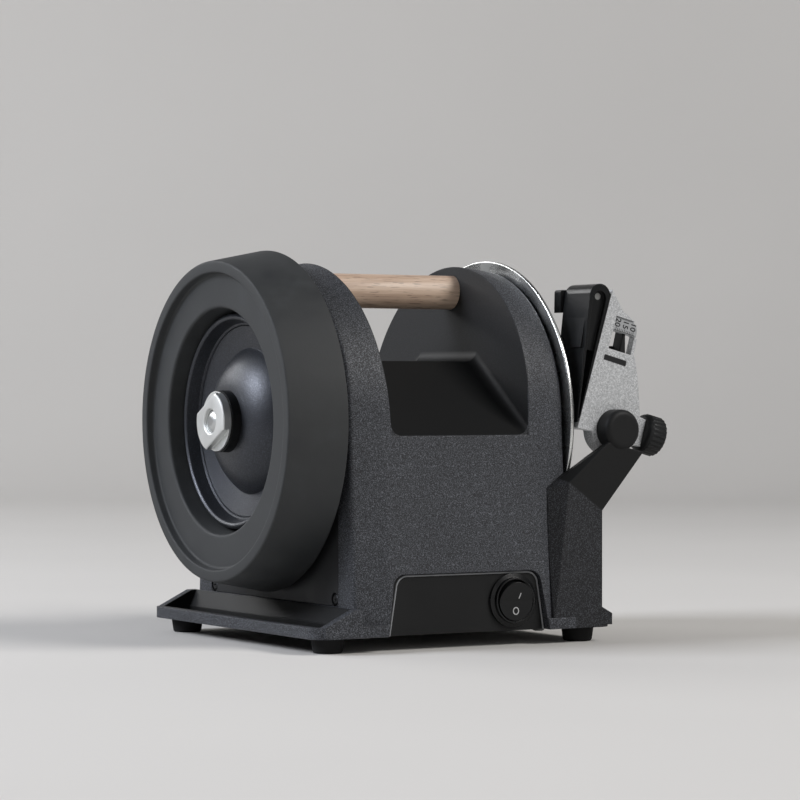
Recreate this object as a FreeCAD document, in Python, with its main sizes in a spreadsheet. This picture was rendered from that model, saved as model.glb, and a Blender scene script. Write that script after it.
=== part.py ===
# Bench-top electric knife sharpener, as an assembly of separate pieces.
# The shaft lies along X: the honing wheel is at -X and the grinding wheel at +X.
# The front, with the switch, faces -Y, and the feet stand on Z = 0. Millimetres.

import FreeCAD
import Part
import Sketcher
import math
import os
from FreeCAD import Placement, Rotation, Vector

os.makedirs("parts", exist_ok=True)
doc = FreeCAD.newDocument("knife_sharpener")
sheet = doc.addObject("Spreadsheet::Sheet", "Sizes")
nodes = []

# Driving dimensions, by piece. Every outline below is bound to these cells.
SIZES = {
    # Shared places
    "shaft_height": 96.6,
    "foot_height": 6.5,
    "gap": 0.25,
    "running_fit": 0.04,
    "wall": 4.0,
    "guide_lean": 15.0,
    "pivot_x": 77.0,
    "pivot_z": 92.7,
    "model_middle_x": 0.0,
    "model_middle_y": 0.0,
    # Base slab, tray and feet
    "base_half_depth": 78.0,
    "base_left": 75.4,
    "base_right": 74.4,
    "base_corner": 8.0,
    "tray_height": 4.9,
    "tray_recess": 2.5,
    "tray_lip": 5.0,
    "flare_run": 17.0,
    "flare_rise": 11.8,
    "foot_x": 63.0,
    "foot_y": 65.5,
    "foot_top_radius": 7.2,
    "foot_bottom_radius": 6.4,
    # Housing
    "side_x": 54.0,
    "front_corner_low": 39.0,
    "side_half_low": 72.5,
    "side_half_high": 67.8,
    "arch_radius": 69.5,
    "arch_inner_high": 38.6,
    "arch_inner_low": 33.5,
    "gap_floor": 75.0,
    "gap_ceiling": 175.0,
    "saddle_front_z": 90.5,
    "saddle_ridge_y": 24.0,
    "saddle_ridge_z": 123.0,
    "saddle_round": 5.0,
    "cove_radius": 10.0,
    "cove_drop": 1.6,
    "cove_rise": 0.7,
    "cove_middle": 46.6,
    "web_inner": 38.0,
    "web_outer": 42.0,
    "room_front_low": 70.0,
    "plate_half_x": 48.0,
    "plate_half_y": 71.2,
    "plate_thick": 2.0,
    "room_front_high": 66.5,
    "room_top": 85.0,
    # Side covers
    "cover_radius": 58.7,
    "cover_bottom": 18.5,
    "cover_seat": 51.0,
    "cover_ledge": 6.0,
    "cover_screw": 3.0,
    "cover_bore": 11.0,
    # Bearings and shaft
    "bearing_radius": 14.0,
    "bearing_near": 36.0,
    "bearing_far": 44.0,
    "boss_radius": 18.0,
    "shaft_radius": 6.0,
    "thread_radius": 5.0,
    "spacer_radius": 8.5,
    # Honing wheel, by distance along the shaft and radius
    "honing_face": 84.0,
    "honing_back": 57.8,
    "honing_face_radius": 69.7,
    "honing_back_radius": 75.0,
    "honing_lip_radius": 64.8,
    "honing_step": 3.4,
    "honing_flat_radius": 49.4,
    "honing_wall_depth": 10.3,
    "honing_ledge_radius": 44.8,
    "honing_floor_depth": 15.6,
    "honing_bore": 41.8,
    "hub_back": 60.0,
    "hub_valley_depth": 19.0,
    "hub_valley_radius": 32.0,
    "hub_nose_depth": 7.6,
    "hub_nose_radius": 13.6,
    "hub_dome": 27.0,
    "washer_radius": 13.5,
    "washer_thick": 4.3,
    "nut_radius": 13.0,
    "nut_thick": 4.3,
    "nut_bore": 5.5,
    "nut_flat": 9.8,
    # Grinding wheel
    "grinding_radius": 72.5,
    "grinding_back": 55.0,
    "grinding_rim": 56.2,
    "grinding_face": 56.8,
    "grinding_cone_radius": 64.0,
    "diamond_thick": 0.4,
    "diamond_inner": 48.0,
    "diamond_outer": 71.6,
    # Gear train
    "gear_module": 1.5,
    "gear_teeth": 60,
    "pinion_teeth": 12,
    "gear_near": 45.2,
    "gear_width": 5.0,
    "mesh_play": 0.12,
    # Motor
    "stator_radius": 30.0,
    "stator_bore": 16.4,
    "stator_left": 18.0,
    "stator_right": 18.0,
    "rotor_radius": 15.9,
    "motor_shaft_radius": 4.0,
    "winding_length": 9.0,
    "capacitor_radius": 12.0,
    "capacitor_length": 42.0,
    "capacitor_y": 48.0,
    # Handle
    "handle_height": 154.4,
    "handle_radius": 7.65,
    "handle_half": 39.8,
    "handle_screw_seat": 46.0,
    # Switch panel and switch
    "panel_top": 32.3,
    "panel_half_top": 36.3,
    "panel_half_bottom": 40.5,
    "panel_corner": 5.0,
    "panel_front": 73.7,
    "panel_thick": 2.4,
    "switch_x": 23.6,
    "switch_z": 19.6,
    "switch_flange": 11.65,
    "switch_ring": 10.0,
    "switch_well": 9.0,
    "switch_stand": 3.0,
    "rocker_radius": 8.4,
    "rocker_angle": 7.0,
    "rocker_depth": 1.2,
    "rocker_pin": 0.9,
    # Strain relief at the rear
    "gland_x": -22.0,
    "gland_z": 24.0,
    "gland_seat": 2.6,
    # Guide support casting
    "pillar_front": 78.0,
    "pillar_left_low": 42.6,
    "pillar_left_high": 50.6,
    "pillar_right": 67.7,
    "pillar_back": 66.0,
    "fold_left_z": 69.9,
    "fold_right_z": 57.5,
    "arm_lean": 0.095,
    "shoulder_left_x": 69.5,
    "shoulder_left_z": 87.2,
    "shoulder_right_x": 87.5,
    "shoulder_right_z": 83.0,
    "shoulder_back": 74.8,
    "knuckle_radius": 9.0,
    "knuckle_front": 81.5,
    "knuckle_back": 73.2,
    "knuckle_round": 2.6,
    "wheel_clearance": 74.2,
    # Guide, in its own leaning frame from the pivot
    "guide_front": 73.0,
    "guide_plate": 4.0,
    "guide_depth": 23.0,
    "guide_boss_radius": 11.2,
    "guide_boss_back": 66.0,
    "edge_bottom_u": -18.5,
    "edge_bottom_v": -3.9,
    "edge_top_u": -16.3,
    "edge_top_v": 59.5,
    "knob_seat": 17.4,
    "knob_radius": 10.0,
    "knob_length": 8.6,
    "knob_v": 3.0,
    "knob_y": 69.9,
    "knob_ribs": 34,
    "stud_radius": 2.5,
    "clamp_pin_u": -21.9,
    "clamp_pin_v": 54.9,
    "clamp_pin_radius": 1.5,
    "clamp_arch": 5.5,
    "pin_radius": 4.0,
    "pin_back": 59.0,
}

# Heights that follow from other sizes
SUPPORT_SCREW_HEIGHT = "{foot_height} + 7.4"
MOTOR_HEIGHT = "{shaft_height} - {gear_module} * ({gear_teeth} + {pinion_teeth}) / 2 - {mesh_play}"


def fill_sheet():
    """Write every driving dimension into the sheet, with its alias."""
    for row, (alias, number) in enumerate(SIZES.items(), start=1):
        sheet.set("A%d" % row, alias)
        sheet.set("B%d" % row, str(number))
        sheet.setAlias("B%d" % row, alias)
    doc.recompute()


def formula(text):
    """Turn each {name} of a formula into that cell of the sheet."""
    return str(text).replace("{", "Sizes.").replace("}", "")


def value(text):
    """The number that a formula gives at present."""
    return float(sheet.evalExpression(formula(text)))


def bind(item, name, text):
    """Bind one property of an object to a formula."""
    item.setExpression(name, formula(text))


def place(item, x="0", y="0", z="0", rotation=None):
    """Put a sub-part at a point of the machine frame, shifted to the model's own origin."""
    item.Placement = Placement(Vector(0, 0, 0), rotation or Rotation())
    bind(item, "Placement.Base.x", "(%s) - {model_middle_x}" % x)
    bind(item, "Placement.Base.y", "(%s) - {model_middle_y}" % y)
    bind(item, "Placement.Base.z", z)
    return item


def keep(item, label):
    """Name an object as one of the model's nodes."""
    item.Label = label
    nodes.append(item)
    return item


def new_body(label):
    """An empty body in the machine frame."""
    item = doc.addObject("PartDesign::Body", label)
    return place(item)


def new_sketch(item, role, depth="0", up="0", across="0"):
    """A sketch on one of the body's own origin planes, moved by formulas."""
    plane = next(f for f in item.Origin.OriginFeatures if f.Role == role)
    result = item.newObject("Sketcher::SketchObject", item.Name + "_sketch")
    result.AttachmentSupport = (plane, "")
    result.MapMode = "FlatFace"
    for name, text in (("x", across), ("y", up), ("z", depth)):
        if text != "0":
            bind(result, "AttachmentOffset.Base." + name, text)
    return result


def hold_point(target, geometry, end, x, y):
    """Bind one end of a line or arc to the formulas of its two coordinates."""
    for kind, text in (("DistanceX", x), ("DistanceY", y)):
        rule = Sketcher.Constraint(kind, -1, 1, geometry, end, value(text))
        number = target.addConstraint(rule)
        bind(target, "Constraints[%d]" % number, text)


def add_arc(target, start, finish, radius):
    """Add an arc between two points: a positive radius turns left, a negative one right."""
    size = abs(radius)
    run = finish - start
    half = run.Length / 2
    rise = math.sqrt(max(size * size - half * half, 0))
    left = Vector(-run.y, run.x, 0).normalize()
    centre = (start + finish) / 2 + left * math.copysign(rise, radius)
    first, last = (start, finish) if radius > 0 else (finish, start)
    begin = math.atan2(first.y - centre.y, first.x - centre.x)
    end = math.atan2(last.y - centre.y, last.x - centre.x)
    if end < begin:
        end += 2 * math.pi
    circle = Part.Circle(centre, Vector(0, 0, 1), size)
    number = target.addGeometry(Part.ArcOfCircle(circle, begin, end), False)
    return number, (1, 2) if radius > 0 else (2, 1)


def outline(target, steps):
    """Draw one closed outline. A step is (x, y), or (x, y, radius) where an arc leads to it."""
    points = [Vector(value(step[0]), value(step[1]), 0) for step in steps]
    pieces = []
    for index, step in enumerate(steps):
        start = points[index - 1]
        finish = points[index]
        if len(step) == 3:
            number, ends = add_arc(target, start, finish, value(step[2]))
            rule = Sketcher.Constraint("Radius", number, abs(value(step[2])))
            bind(target, "Constraints[%d]" % target.addConstraint(rule), "abs(%s)" % step[2])
        else:
            number = target.addGeometry(Part.LineSegment(start, finish), False)
            ends = (1, 2)
        pieces.append((number, ends))
    for index, step in enumerate(steps):
        number, ends = pieces[index]
        following, next_ends = pieces[(index + 1) % len(pieces)]
        target.addConstraint(Sketcher.Constraint("Coincident", number, ends[1], following, next_ends[0]))
        hold_point(target, number, ends[1], step[0], step[1])
    return target


def ring(target, x, y, radius):
    """Draw one circle."""
    centre = Vector(value(x), value(y), 0)
    number = target.addGeometry(Part.Circle(centre, Vector(0, 0, 1), value(radius)), False)
    rule = Sketcher.Constraint("Radius", number, value(radius))
    bind(target, "Constraints[%d]" % target.addConstraint(rule), radius)
    hold_point(target, number, 3, x, y)
    return target


def extrude(item, profile, length, cut=False, reverse=False, middle=False):
    """Pad or pocket a sketch of the body."""
    result = item.newObject("PartDesign::Pocket" if cut else "PartDesign::Pad", item.Name + "_step")
    result.Profile = profile
    result.Reversed = reverse
    result.Midplane = middle
    bind(result, "Length", length)
    return result


def revolve(item, profile, angle="360", cut=False, middle=False, axis="H_Axis"):
    """Turn a sketch of the body about one of the sketch's own axes."""
    result = item.newObject("PartDesign::Groove" if cut else "PartDesign::Revolution", item.Name + "_turn")
    result.Profile = profile
    result.ReferenceAxis = (profile, [axis])
    result.Midplane = middle
    bind(result, "Angle", angle)
    return result


def loft(item, sections, cut=False):
    """Join sections of the body with flat faces."""
    kind = "PartDesign::SubtractiveLoft" if cut else "PartDesign::AdditiveLoft"
    result = item.newObject(kind, item.Name + "_loft")
    result.Profile = sections[0]
    result.Sections = sections[1:]
    result.Ruled = True
    return result


def round_edges(item, radius, chosen, kind="Fillet"):
    """Fillet or chamfer the edges of the body that a test picks."""
    doc.recompute()
    base = item.Tip
    names = ["Edge%d" % n for n, edge in enumerate(base.Shape.Edges, start=1) if chosen(edge)]
    result = item.newObject("PartDesign::" + kind, item.Name + "_edge")
    result.Base = (base, names)
    bind(result, "Radius" if kind == "Fillet" else "Size", radius)
    return result


def is_circle(edge, radius, x=None, play=0.05):
    """True for a circular edge of that radius, in the plane of that x if one is given."""
    if not isinstance(edge.Curve, Part.Circle):
        return False
    if abs(edge.Curve.Radius - radius) > play:
        return False
    return x is None or abs(edge.Curve.Center.x - x) < play


def rectangle(x_low, x_high, y_low, y_high):
    """The four corners of a rectangle, as formulas."""
    return [(x_low, y_low), (x_high, y_low), (x_high, y_high), (x_low, y_high)]


def turned(label, steps):
    """A body turned about the shaft's axis, from an outline of (x, radius) steps."""
    item = new_body(label)
    profile = outline(new_sketch(item, "XZ_Plane", up="{shaft_height}"), steps)
    revolve(item, profile)
    return keep(item, label)


def tube_steps(x_low, x_high, inner, outer):
    """The outline of a plain tube about the shaft."""
    return [(x_low, inner), (x_high, inner), (x_high, outer), (x_low, outer)]


def cylinder(name, radius, length, x, y, z, direction):
    """A plain cylinder from a point along a direction."""
    item = doc.addObject("Part::Cylinder", name)
    bind(item, "Radius", radius)
    bind(item, "Height", length)
    return place(item, x, y, z, Rotation(Vector(0, 0, 1), direction))


def fuse(name, items):
    """Join objects into one solid."""
    result = doc.addObject("Part::MultiFuse", name)
    result.Shapes = items
    return result


def cut(name, base, tool):
    """Take one object out of another."""
    result = doc.addObject("Part::Cut", name)
    result.Base = base
    result.Tool = tool
    return result


def screw_at(label, spot, direction, head_radius, head_height, shank_radius, shank_length):
    """One cheese-head screw: its spot is the point under its head."""
    x, y, z = spot
    head = cylinder(label + "_head", head_radius, head_height, x, y, z, Vector(direction) * -1)
    shank = cylinder(label + "_shank", shank_radius, shank_length, x, y, z, direction)
    return fuse(label + "_screw", [head, shank])


def screws(label, spots, direction, head_radius, head_height, shank_radius, shank_length):
    """One node of identical screws that all point the same way."""
    group = doc.addObject("Part::Compound", label)
    group.Links = [screw_at(label, spot, direction, head_radius, head_height, shank_radius, shank_length)
                   for spot in spots]
    return keep(group, label)


def plan(side, corner, front, side_half):
    """The eight-sided plan of the housing at one height."""
    return [
        (side, "-(%s)" % side_half), (side, side_half),
        (corner, front), ("-(%s)" % corner, front),
        ("-(%s)" % side, side_half), ("-(%s)" % side, "-(%s)" % side_half),
        ("-(%s)" % corner, "-(%s)" % front), (corner, "-(%s)" % front),
    ]


def housing_sections(item, grow="0"):
    """Sketches of the lower housing's plan, at the base and at the shaft's height."""
    low = new_sketch(item, "XY_Plane", depth="{foot_height}")
    outline(low, plan("{side_x} + " + grow, "{front_corner_low}", "{base_half_depth} + " + grow,
                      "{side_half_low} + " + grow))
    high = new_sketch(item, "XY_Plane", depth="{shaft_height}")
    outline(high, plan("{side_x} + " + grow, "{arch_inner_high}", "{arch_radius} + " + grow,
                       "{side_half_high} + " + grow))
    return [low, high]


def front_at(height):
    """How far forward the leaning front face stands at a height."""
    share = "((%s) - {foot_height}) / ({shaft_height} - {foot_height})" % height
    return "{base_half_depth} - %s * ({base_half_depth} - {arch_radius})" % share


def arched(target, radius, bottom):
    """A round-topped outline about the shaft, with straight sides down to its bottom."""
    return outline(target, [
        ("-(%s)" % radius, "-(%s)" % bottom), (radius, "-(%s)" % bottom), (radius, "0"),
        ("0", radius, radius), ("-(%s)" % radius, "0", radius),
    ])


def make_housing():
    """The cast housing: base slab with a tray, two arches, and a saddle between them."""
    item = new_body("housing")
    slab = new_sketch(item, "XY_Plane", depth="{foot_height}")
    left = "-{base_left}"
    outline(slab, [
        ("{side_x}", "-{base_half_depth}"), ("{side_x}", "{base_half_depth}"),
        (left + " + {base_corner}", "{base_half_depth}"),
        (left, "{base_half_depth} - {base_corner}", "{base_corner}"),
        (left, "-{base_half_depth} + {base_corner}"),
        (left + " + {base_corner}", "-{base_half_depth}", "{base_corner}"),
    ])
    extrude(item, slab, "{tray_height}")
    loft(item, housing_sections(item))
    drum = new_sketch(item, "XZ_Plane", up="{shaft_height}")
    outline(drum, [
        ("-{side_x}", "0"), ("{side_x}", "0"), ("{side_x}", "{side_half_high}"),
        ("{arch_inner_high}", "{arch_radius}"), ("-{arch_inner_high}", "{arch_radius}"),
        ("-{side_x}", "{side_half_high}"),
    ])
    revolve(item, drum, angle="180", middle=True)
    span = "{base_half_depth} + 10"
    gap_sections = []
    for height, half in (("{gap_floor}", "{arch_inner_low}"), ("{gap_ceiling}", "{arch_inner_high} + 0.5")):
        section = new_sketch(item, "XY_Plane", depth=height)
        outline(section, rectangle("-(%s)" % half, half, "-(%s)" % span, span))
        gap_sections.append(section)
    loft(item, gap_sections, cut=True)
    saddle = new_sketch(item, "YZ_Plane")
    outline(saddle, [
        ("-(%s)" % front_at("{gap_floor} - 5"), "{gap_floor} - 5"),
        (front_at("{gap_floor} - 5"), "{gap_floor} - 5"),
        (front_at("{saddle_front_z}"), "{saddle_front_z}"), ("{saddle_ridge_y}", "{saddle_ridge_z}"),
        ("-{saddle_ridge_y}", "{saddle_ridge_z}"),
        ("-(%s)" % front_at("{saddle_front_z}"), "{saddle_front_z}"),
    ])
    extrude(item, saddle, "2 * {arch_inner_high}", middle=True)
    round_saddle(item)
    make_housing_flares(item)
    make_housing_rooms(item)
    make_housing_openings(item)
    finish_housing(item)
    return keep(item, "housing")


def round_saddle(item):
    """The rounded inner corners where the saddle's top meets the two arches."""
    front = front_at("{saddle_front_z} + {saddle_round}")
    slope = "(({saddle_ridge_z} - {saddle_front_z}) / (%s - {saddle_ridge_y}))" % front_at("{saddle_front_z}")
    start = "{saddle_front_z} + (%s - (%s)) * %s" % (front_at("{saddle_front_z}"), front, slope)
    spread = "(({arch_inner_high} + 0.5 - {arch_inner_low}) / ({gap_ceiling} - {gap_floor}))"
    places = [(front, start), ("{saddle_ridge_y}", "{saddle_ridge_z}"),
              ("-{saddle_ridge_y}", "{saddle_ridge_z}"), ("-(%s)" % front, start)]
    for side in (1, -1):
        sections = []
        for depth, height in places:
            wall = "{arch_inner_low} + (%s - {gap_floor}) * %s" % (height, spread)
            section = new_sketch(item, "XZ_Plane", depth=depth)
            outline(section, [
                ("%d * (%s + 1)" % (side, wall), "%s - 1" % height),
                ("%d * (%s + 1)" % (side, wall), "%s + {saddle_round}" % height),
                ("%d * (%s + {saddle_round} * %s)" % (side, wall, spread), "%s + {saddle_round}" % height),
                ("%d * (%s - {saddle_round})" % (side, wall), height, "%d * {saddle_round} * 1.02" % -side),
                ("%d * (%s - {saddle_round})" % (side, wall), "%s - 1" % height),
            ])
            sections.append(section)
        loft(item, sections)


def make_housing_flares(item):
    """The tray's end walls, which slope up into the side of the housing, and its recess."""
    for side in (-1, 1):
        depth = "{base_half_depth}" if side < 0 else "-{base_half_depth} + {tray_lip}"
        wall = new_sketch(item, "XZ_Plane", depth=depth)
        outline(wall, [
            ("-{side_x} + 1", "{foot_height} + 1"), ("-{side_x} + 1", "{foot_height} + {flare_rise}"),
            ("-{side_x} - 3", "{foot_height} + {flare_rise}"),
            ("-{side_x} - {flare_run}", "{foot_height} + {tray_height}"),
            ("-{side_x} - {flare_run}", "{foot_height} + 1"),
        ])
        extrude(item, wall, "{tray_lip}", reverse=True)
    slope = new_sketch(item, "XZ_Plane")
    outline(slope, [
        ("-{side_x} + 1", "{foot_height} + 1"), ("-{side_x} + 1", "{foot_height} + {flare_rise}"),
        ("-{side_x} - 0.6", "{foot_height} + {flare_rise}"), ("-{side_x} - 4", "{foot_height} + {tray_height}"),
        ("-{side_x} - 4", "{foot_height} + 1"),
    ])
    extrude(item, slope, "2 * {base_half_depth} - 2 * {tray_lip}", middle=True)
    recess = new_sketch(item, "XY_Plane", depth="{foot_height} + {tray_height}")
    outline(recess, rectangle("-{base_left} + {tray_lip}", "-{side_x} - 4.4",
                              "-{base_half_depth} + {tray_lip}", "{base_half_depth} - {tray_lip}"))
    extrude(item, recess, "{tray_recess}", cut=True)


def make_housing_rooms(item):
    """The hollow of the casting: the motor room, and a side room behind each cover."""
    rooms = []
    for height, half in (("{foot_height} - 0.5", "{room_front_low}"), ("{room_top}", "{room_front_high}")):
        section = new_sketch(item, "XY_Plane", depth=height)
        outline(section, rectangle("-{web_inner}", "{web_inner}", "-(%s)" % half, half))
        rooms.append(section)
    loft(item, rooms, cut=True)
    roof = new_sketch(item, "YZ_Plane")
    low = "{room_front_high}"
    outline(roof, [
        ("-" + low, "{room_top} - 1"), (low, "{room_top} - 1"),
        (low, "{saddle_front_z} - {wall}"), ("{saddle_ridge_y} - 1", "{saddle_ridge_z} - {wall}"),
        ("-{saddle_ridge_y} + 1", "{saddle_ridge_z} - {wall}"),
        ("-" + low, "{saddle_front_z} - {wall}"),
    ])
    extrude(item, roof, "2 * ({web_inner} - 4)", cut=True, middle=True)
    for side in (-1, 1):
        reverse = side < 0
        seat = new_sketch(item, "YZ_Plane", depth="%d * {side_x}" % side, up="{shaft_height}")
        arched(seat, "{cover_radius}", "{shaft_height} - {cover_bottom}")
        extrude(item, seat, "{side_x} - {cover_seat}", cut=True, reverse=reverse)
        room = new_sketch(item, "YZ_Plane", depth="%d * {side_x}" % side, up="{shaft_height}")
        arched(room, "{cover_radius} - {cover_ledge}", "{shaft_height} - {cover_bottom} - {cover_ledge}")
        extrude(item, room, "{side_x} - {web_outer}", cut=True, reverse=reverse)
        boss = new_sketch(item, "YZ_Plane", depth="%d * {bearing_near}" % side, up="{shaft_height}")
        ring(boss, "0", "0", "{boss_radius}")
        extrude(item, boss, "{bearing_far} - {bearing_near}", reverse=reverse)
        bore = new_sketch(item, "YZ_Plane", depth="%d * {side_x}" % side, up="{shaft_height}")
        ring(bore, "0", "0", "{bearing_radius}")
        extrude(item, bore, "{side_x} - {bearing_near} + 8", cut=True, reverse=reverse)
        socket = new_sketch(item, "YZ_Plane", depth="%d * {web_inner} - %d" % (side, 6 * side),
                            up="{handle_height}")
        ring(socket, "0", "0", "{handle_radius} + 0.05")
        extrude(item, socket, "{handle_half} - {web_inner} + 6.05", cut=True, reverse=not reverse)
        seat = new_sketch(item, "YZ_Plane", depth="%d * {side_x}" % side, up="{handle_height}")
        ring(seat, "0", "0", "4.2")
        extrude(item, seat, "{side_x} - {handle_screw_seat}", cut=True, reverse=reverse)
        hole = new_sketch(item, "YZ_Plane", depth="%d * {side_x}" % side, up="{handle_height}")
        ring(hole, "0", "0", "2.05")
        extrude(item, hole, "{side_x} - {web_inner}", cut=True, reverse=reverse)
        holes = new_sketch(item, "YZ_Plane", depth="%d * {side_x}" % side, up="{shaft_height}")
        for y, z in cover_screw_spots():
            ring(holes, y, z, "1.45")
        extrude(item, holes, "{side_x} - {cover_seat} + 7", cut=True, reverse=reverse)


def make_housing_openings(item):
    """The switch panel's opening, the pinion's hole, the gland's hole and the base plate's recess."""
    front = new_sketch(item, "XZ_Plane", depth="{base_half_depth} + 5")
    panel_outline(front, "0")
    extrude(item, front, "15", cut=True)
    pinion = new_sketch(item, "YZ_Plane", depth="{web_inner} - 3", up=MOTOR_HEIGHT)
    ring(pinion, "0", "0", "14")
    extrude(item, pinion, "10", cut=True, reverse=True)
    for radius, deep in (("6.3", "20"), ("9.3", "5 + {gland_seat}")):
        gland = new_sketch(item, "XZ_Plane", depth="-{base_half_depth} - 5")
        ring(gland, "{gland_x}", "{gland_z}", radius)
        extrude(item, gland, deep, cut=True, reverse=True)
    recess = new_sketch(item, "XY_Plane", depth="{foot_height}")
    outline(recess, rectangle("-{plate_half_x}", "{plate_half_x}", "-{plate_half_y}", "{plate_half_y}"))
    extrude(item, recess, "{plate_thick}", cut=True, reverse=True)
    holes = new_sketch(item, "XY_Plane", depth="{foot_height}")
    for x, y in base_screw_spots():
        ring(holes, x, y, "1.55")
    extrude(item, holes, "10", cut=True, reverse=True)
    side_holes = new_sketch(item, "YZ_Plane", depth="{side_x}", up=SUPPORT_SCREW_HEIGHT)
    for side in (-1, 1):
        ring(side_holes, "%d * 40" % side, "0", "1.55")
    extrude(item, side_holes, "9", cut=True)


def finish_housing(item):
    """The cove that fades out down each arch, and softened edges."""
    cove = new_sketch(item, "XZ_Plane", up="{shaft_height} - {cove_drop}")
    for side in ("", "-"):
        ring(cove, side + "{cove_middle}", "{arch_radius} + {cove_rise} + {cove_radius}", "{cove_radius}")
    revolve(item, cove, angle="150", cut=True, middle=True)
    rim = value("{side_half_high}")
    side = value("{side_x}")
    round_edges(item, "2.2", lambda edge: is_circle(edge, rim, side) or is_circle(edge, rim, -side))


def panel_outline(target, inset):
    """The trapezoid of the switch panel, smaller by an inset."""
    top = "{panel_top} - " + inset
    upper = "({panel_half_top} - %s)" % inset
    lower = "({panel_half_bottom} - %s)" % inset
    bottom = "{foot_height} - 1"
    slope = "({panel_half_bottom} - {panel_half_top}) / ({panel_top} - {foot_height})"
    drop = "{panel_corner} * %s" % slope
    return outline(target, [
        ("-" + lower, bottom), (lower, bottom),
        (upper + " + " + drop, top + " - {panel_corner}"),
        (upper + " - {panel_corner}", top, "{panel_corner} * 1.08"),
        ("-" + upper + " + {panel_corner}", top),
        ("-" + upper + " - " + drop, top + " - {panel_corner}", "{panel_corner} * 1.08"),
    ])


def cover_screw_spots():
    """Four places on the ledge behind a cover, from the shaft."""
    reach = "({cover_radius} - {cover_screw}) * 0.7071"
    side = "{cover_radius} - {cover_screw}"
    low = "{cover_bottom} + {cover_screw} - {shaft_height}"
    return [(reach, reach), ("-" + reach, reach), (side, low), ("-(%s)" % side, low)]


def base_screw_spots():
    """Four places near the corners of the base plate."""
    return [("%d * ({plate_half_x} - 4)" % x, "%d * ({plate_half_y} - 8)" % y) for x in (-1, 1) for y in (-1, 1)]


def make_covers():
    """A plate set into each side of the housing, behind each wheel, with its screws."""
    for side, label in ((-1, "left_cover"), (1, "right_cover")):
        item = new_body(label)
        plate = new_sketch(item, "YZ_Plane", depth="%d * {cover_seat}" % side, up="{shaft_height}")
        arched(plate, "{cover_radius} - {gap}", "{shaft_height} - {cover_bottom} - {gap}")
        ring(plate, "0", "0", "{cover_bore}")
        for y, z in cover_screw_spots():
            ring(plate, y, z, "1.5")
        extrude(item, plate, "{side_x} - {cover_seat}", reverse=side < 0)
        seats = new_sketch(item, "YZ_Plane", depth="%d * {side_x}" % side, up="{shaft_height}")
        for y, z in cover_screw_spots():
            ring(seats, y, z, "2.9")
        extrude(item, seats, "1.6", cut=True, reverse=side < 0)
        keep(item, label)
        spots = [("%d * ({side_x} - 1.6)" % side, y, "{shaft_height} + " + z) for y, z in cover_screw_spots()]
        screws(label + "_screws", spots, Vector(-side, 0, 0), "2.6", "1.4", "1.4", "8")


def make_base():
    """The steel plate that closes the underside, the rubber feet and their screws."""
    item = new_body("base_plate")
    plate = new_sketch(item, "XY_Plane", depth="{foot_height}")
    outline(plate, rectangle("-{plate_half_x} + {gap}", "{plate_half_x} - {gap}",
                             "-{plate_half_y} + {gap}", "{plate_half_y} - {gap}"))
    for x, y in base_screw_spots():
        ring(plate, x, y, "1.6")
    extrude(item, plate, "{plate_thick}")
    keep(item, "base_plate")
    spots = [(x, y, "{foot_height}") for x, y in base_screw_spots()]
    screws("base_screws", spots, Vector(0, 0, 1), "2.8", "1.6", "1.5", "9")
    corners = {"front_left": (-1, -1), "front_right": (1, -1), "rear_left": (-1, 1), "rear_right": (1, 1)}
    for name, (along, across) in corners.items():
        foot = new_body("foot_" + name)
        place(foot, "%d * {foot_x}" % along, "%d * {foot_y}" % across)
        profile = outline(new_sketch(foot, "XZ_Plane"), [
            ("2.2", "2.4"), ("4.2", "2.4"), ("4.2", "0"), ("{foot_bottom_radius} - 0.6", "0"),
            ("{foot_bottom_radius}", "0.8"), ("{foot_top_radius}", "{foot_height}"),
            ("2.2", "{foot_height}"),
        ])
        revolve(foot, profile, axis="V_Axis")
        keep(foot, "foot_" + name)
    spots = [("%d * {foot_x}" % x, "%d * {foot_y}" % y, "2.4") for x, y in corners.values()]
    screws("foot_screws", spots, Vector(0, 0, 1), "3.6", "1.6", "2", "{foot_height} - 2.6")


def make_handle():
    """The oak rod between the arches."""
    item = new_body("handle")
    profile = outline(new_sketch(item, "XZ_Plane", up="{handle_height}"),
                      tube_steps("-{handle_half}", "{handle_half}", "2.05", "{handle_radius}"))
    revolve(item, profile)
    keep(item, "handle")
    spots = [("%d * {handle_screw_seat}" % side, "0", "{handle_height}") for side in (-1, 1)]
    made = []
    for side, spot in zip((-1, 1), spots):
        made.append(screw_at("handle_screw", spot, Vector(-side, 0, 0), "3.8", "2.4", "2", "24"))
    group = doc.addObject("Part::Compound", "handle_screws")
    group.Links = made
    keep(group, "handle_screws")


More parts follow.
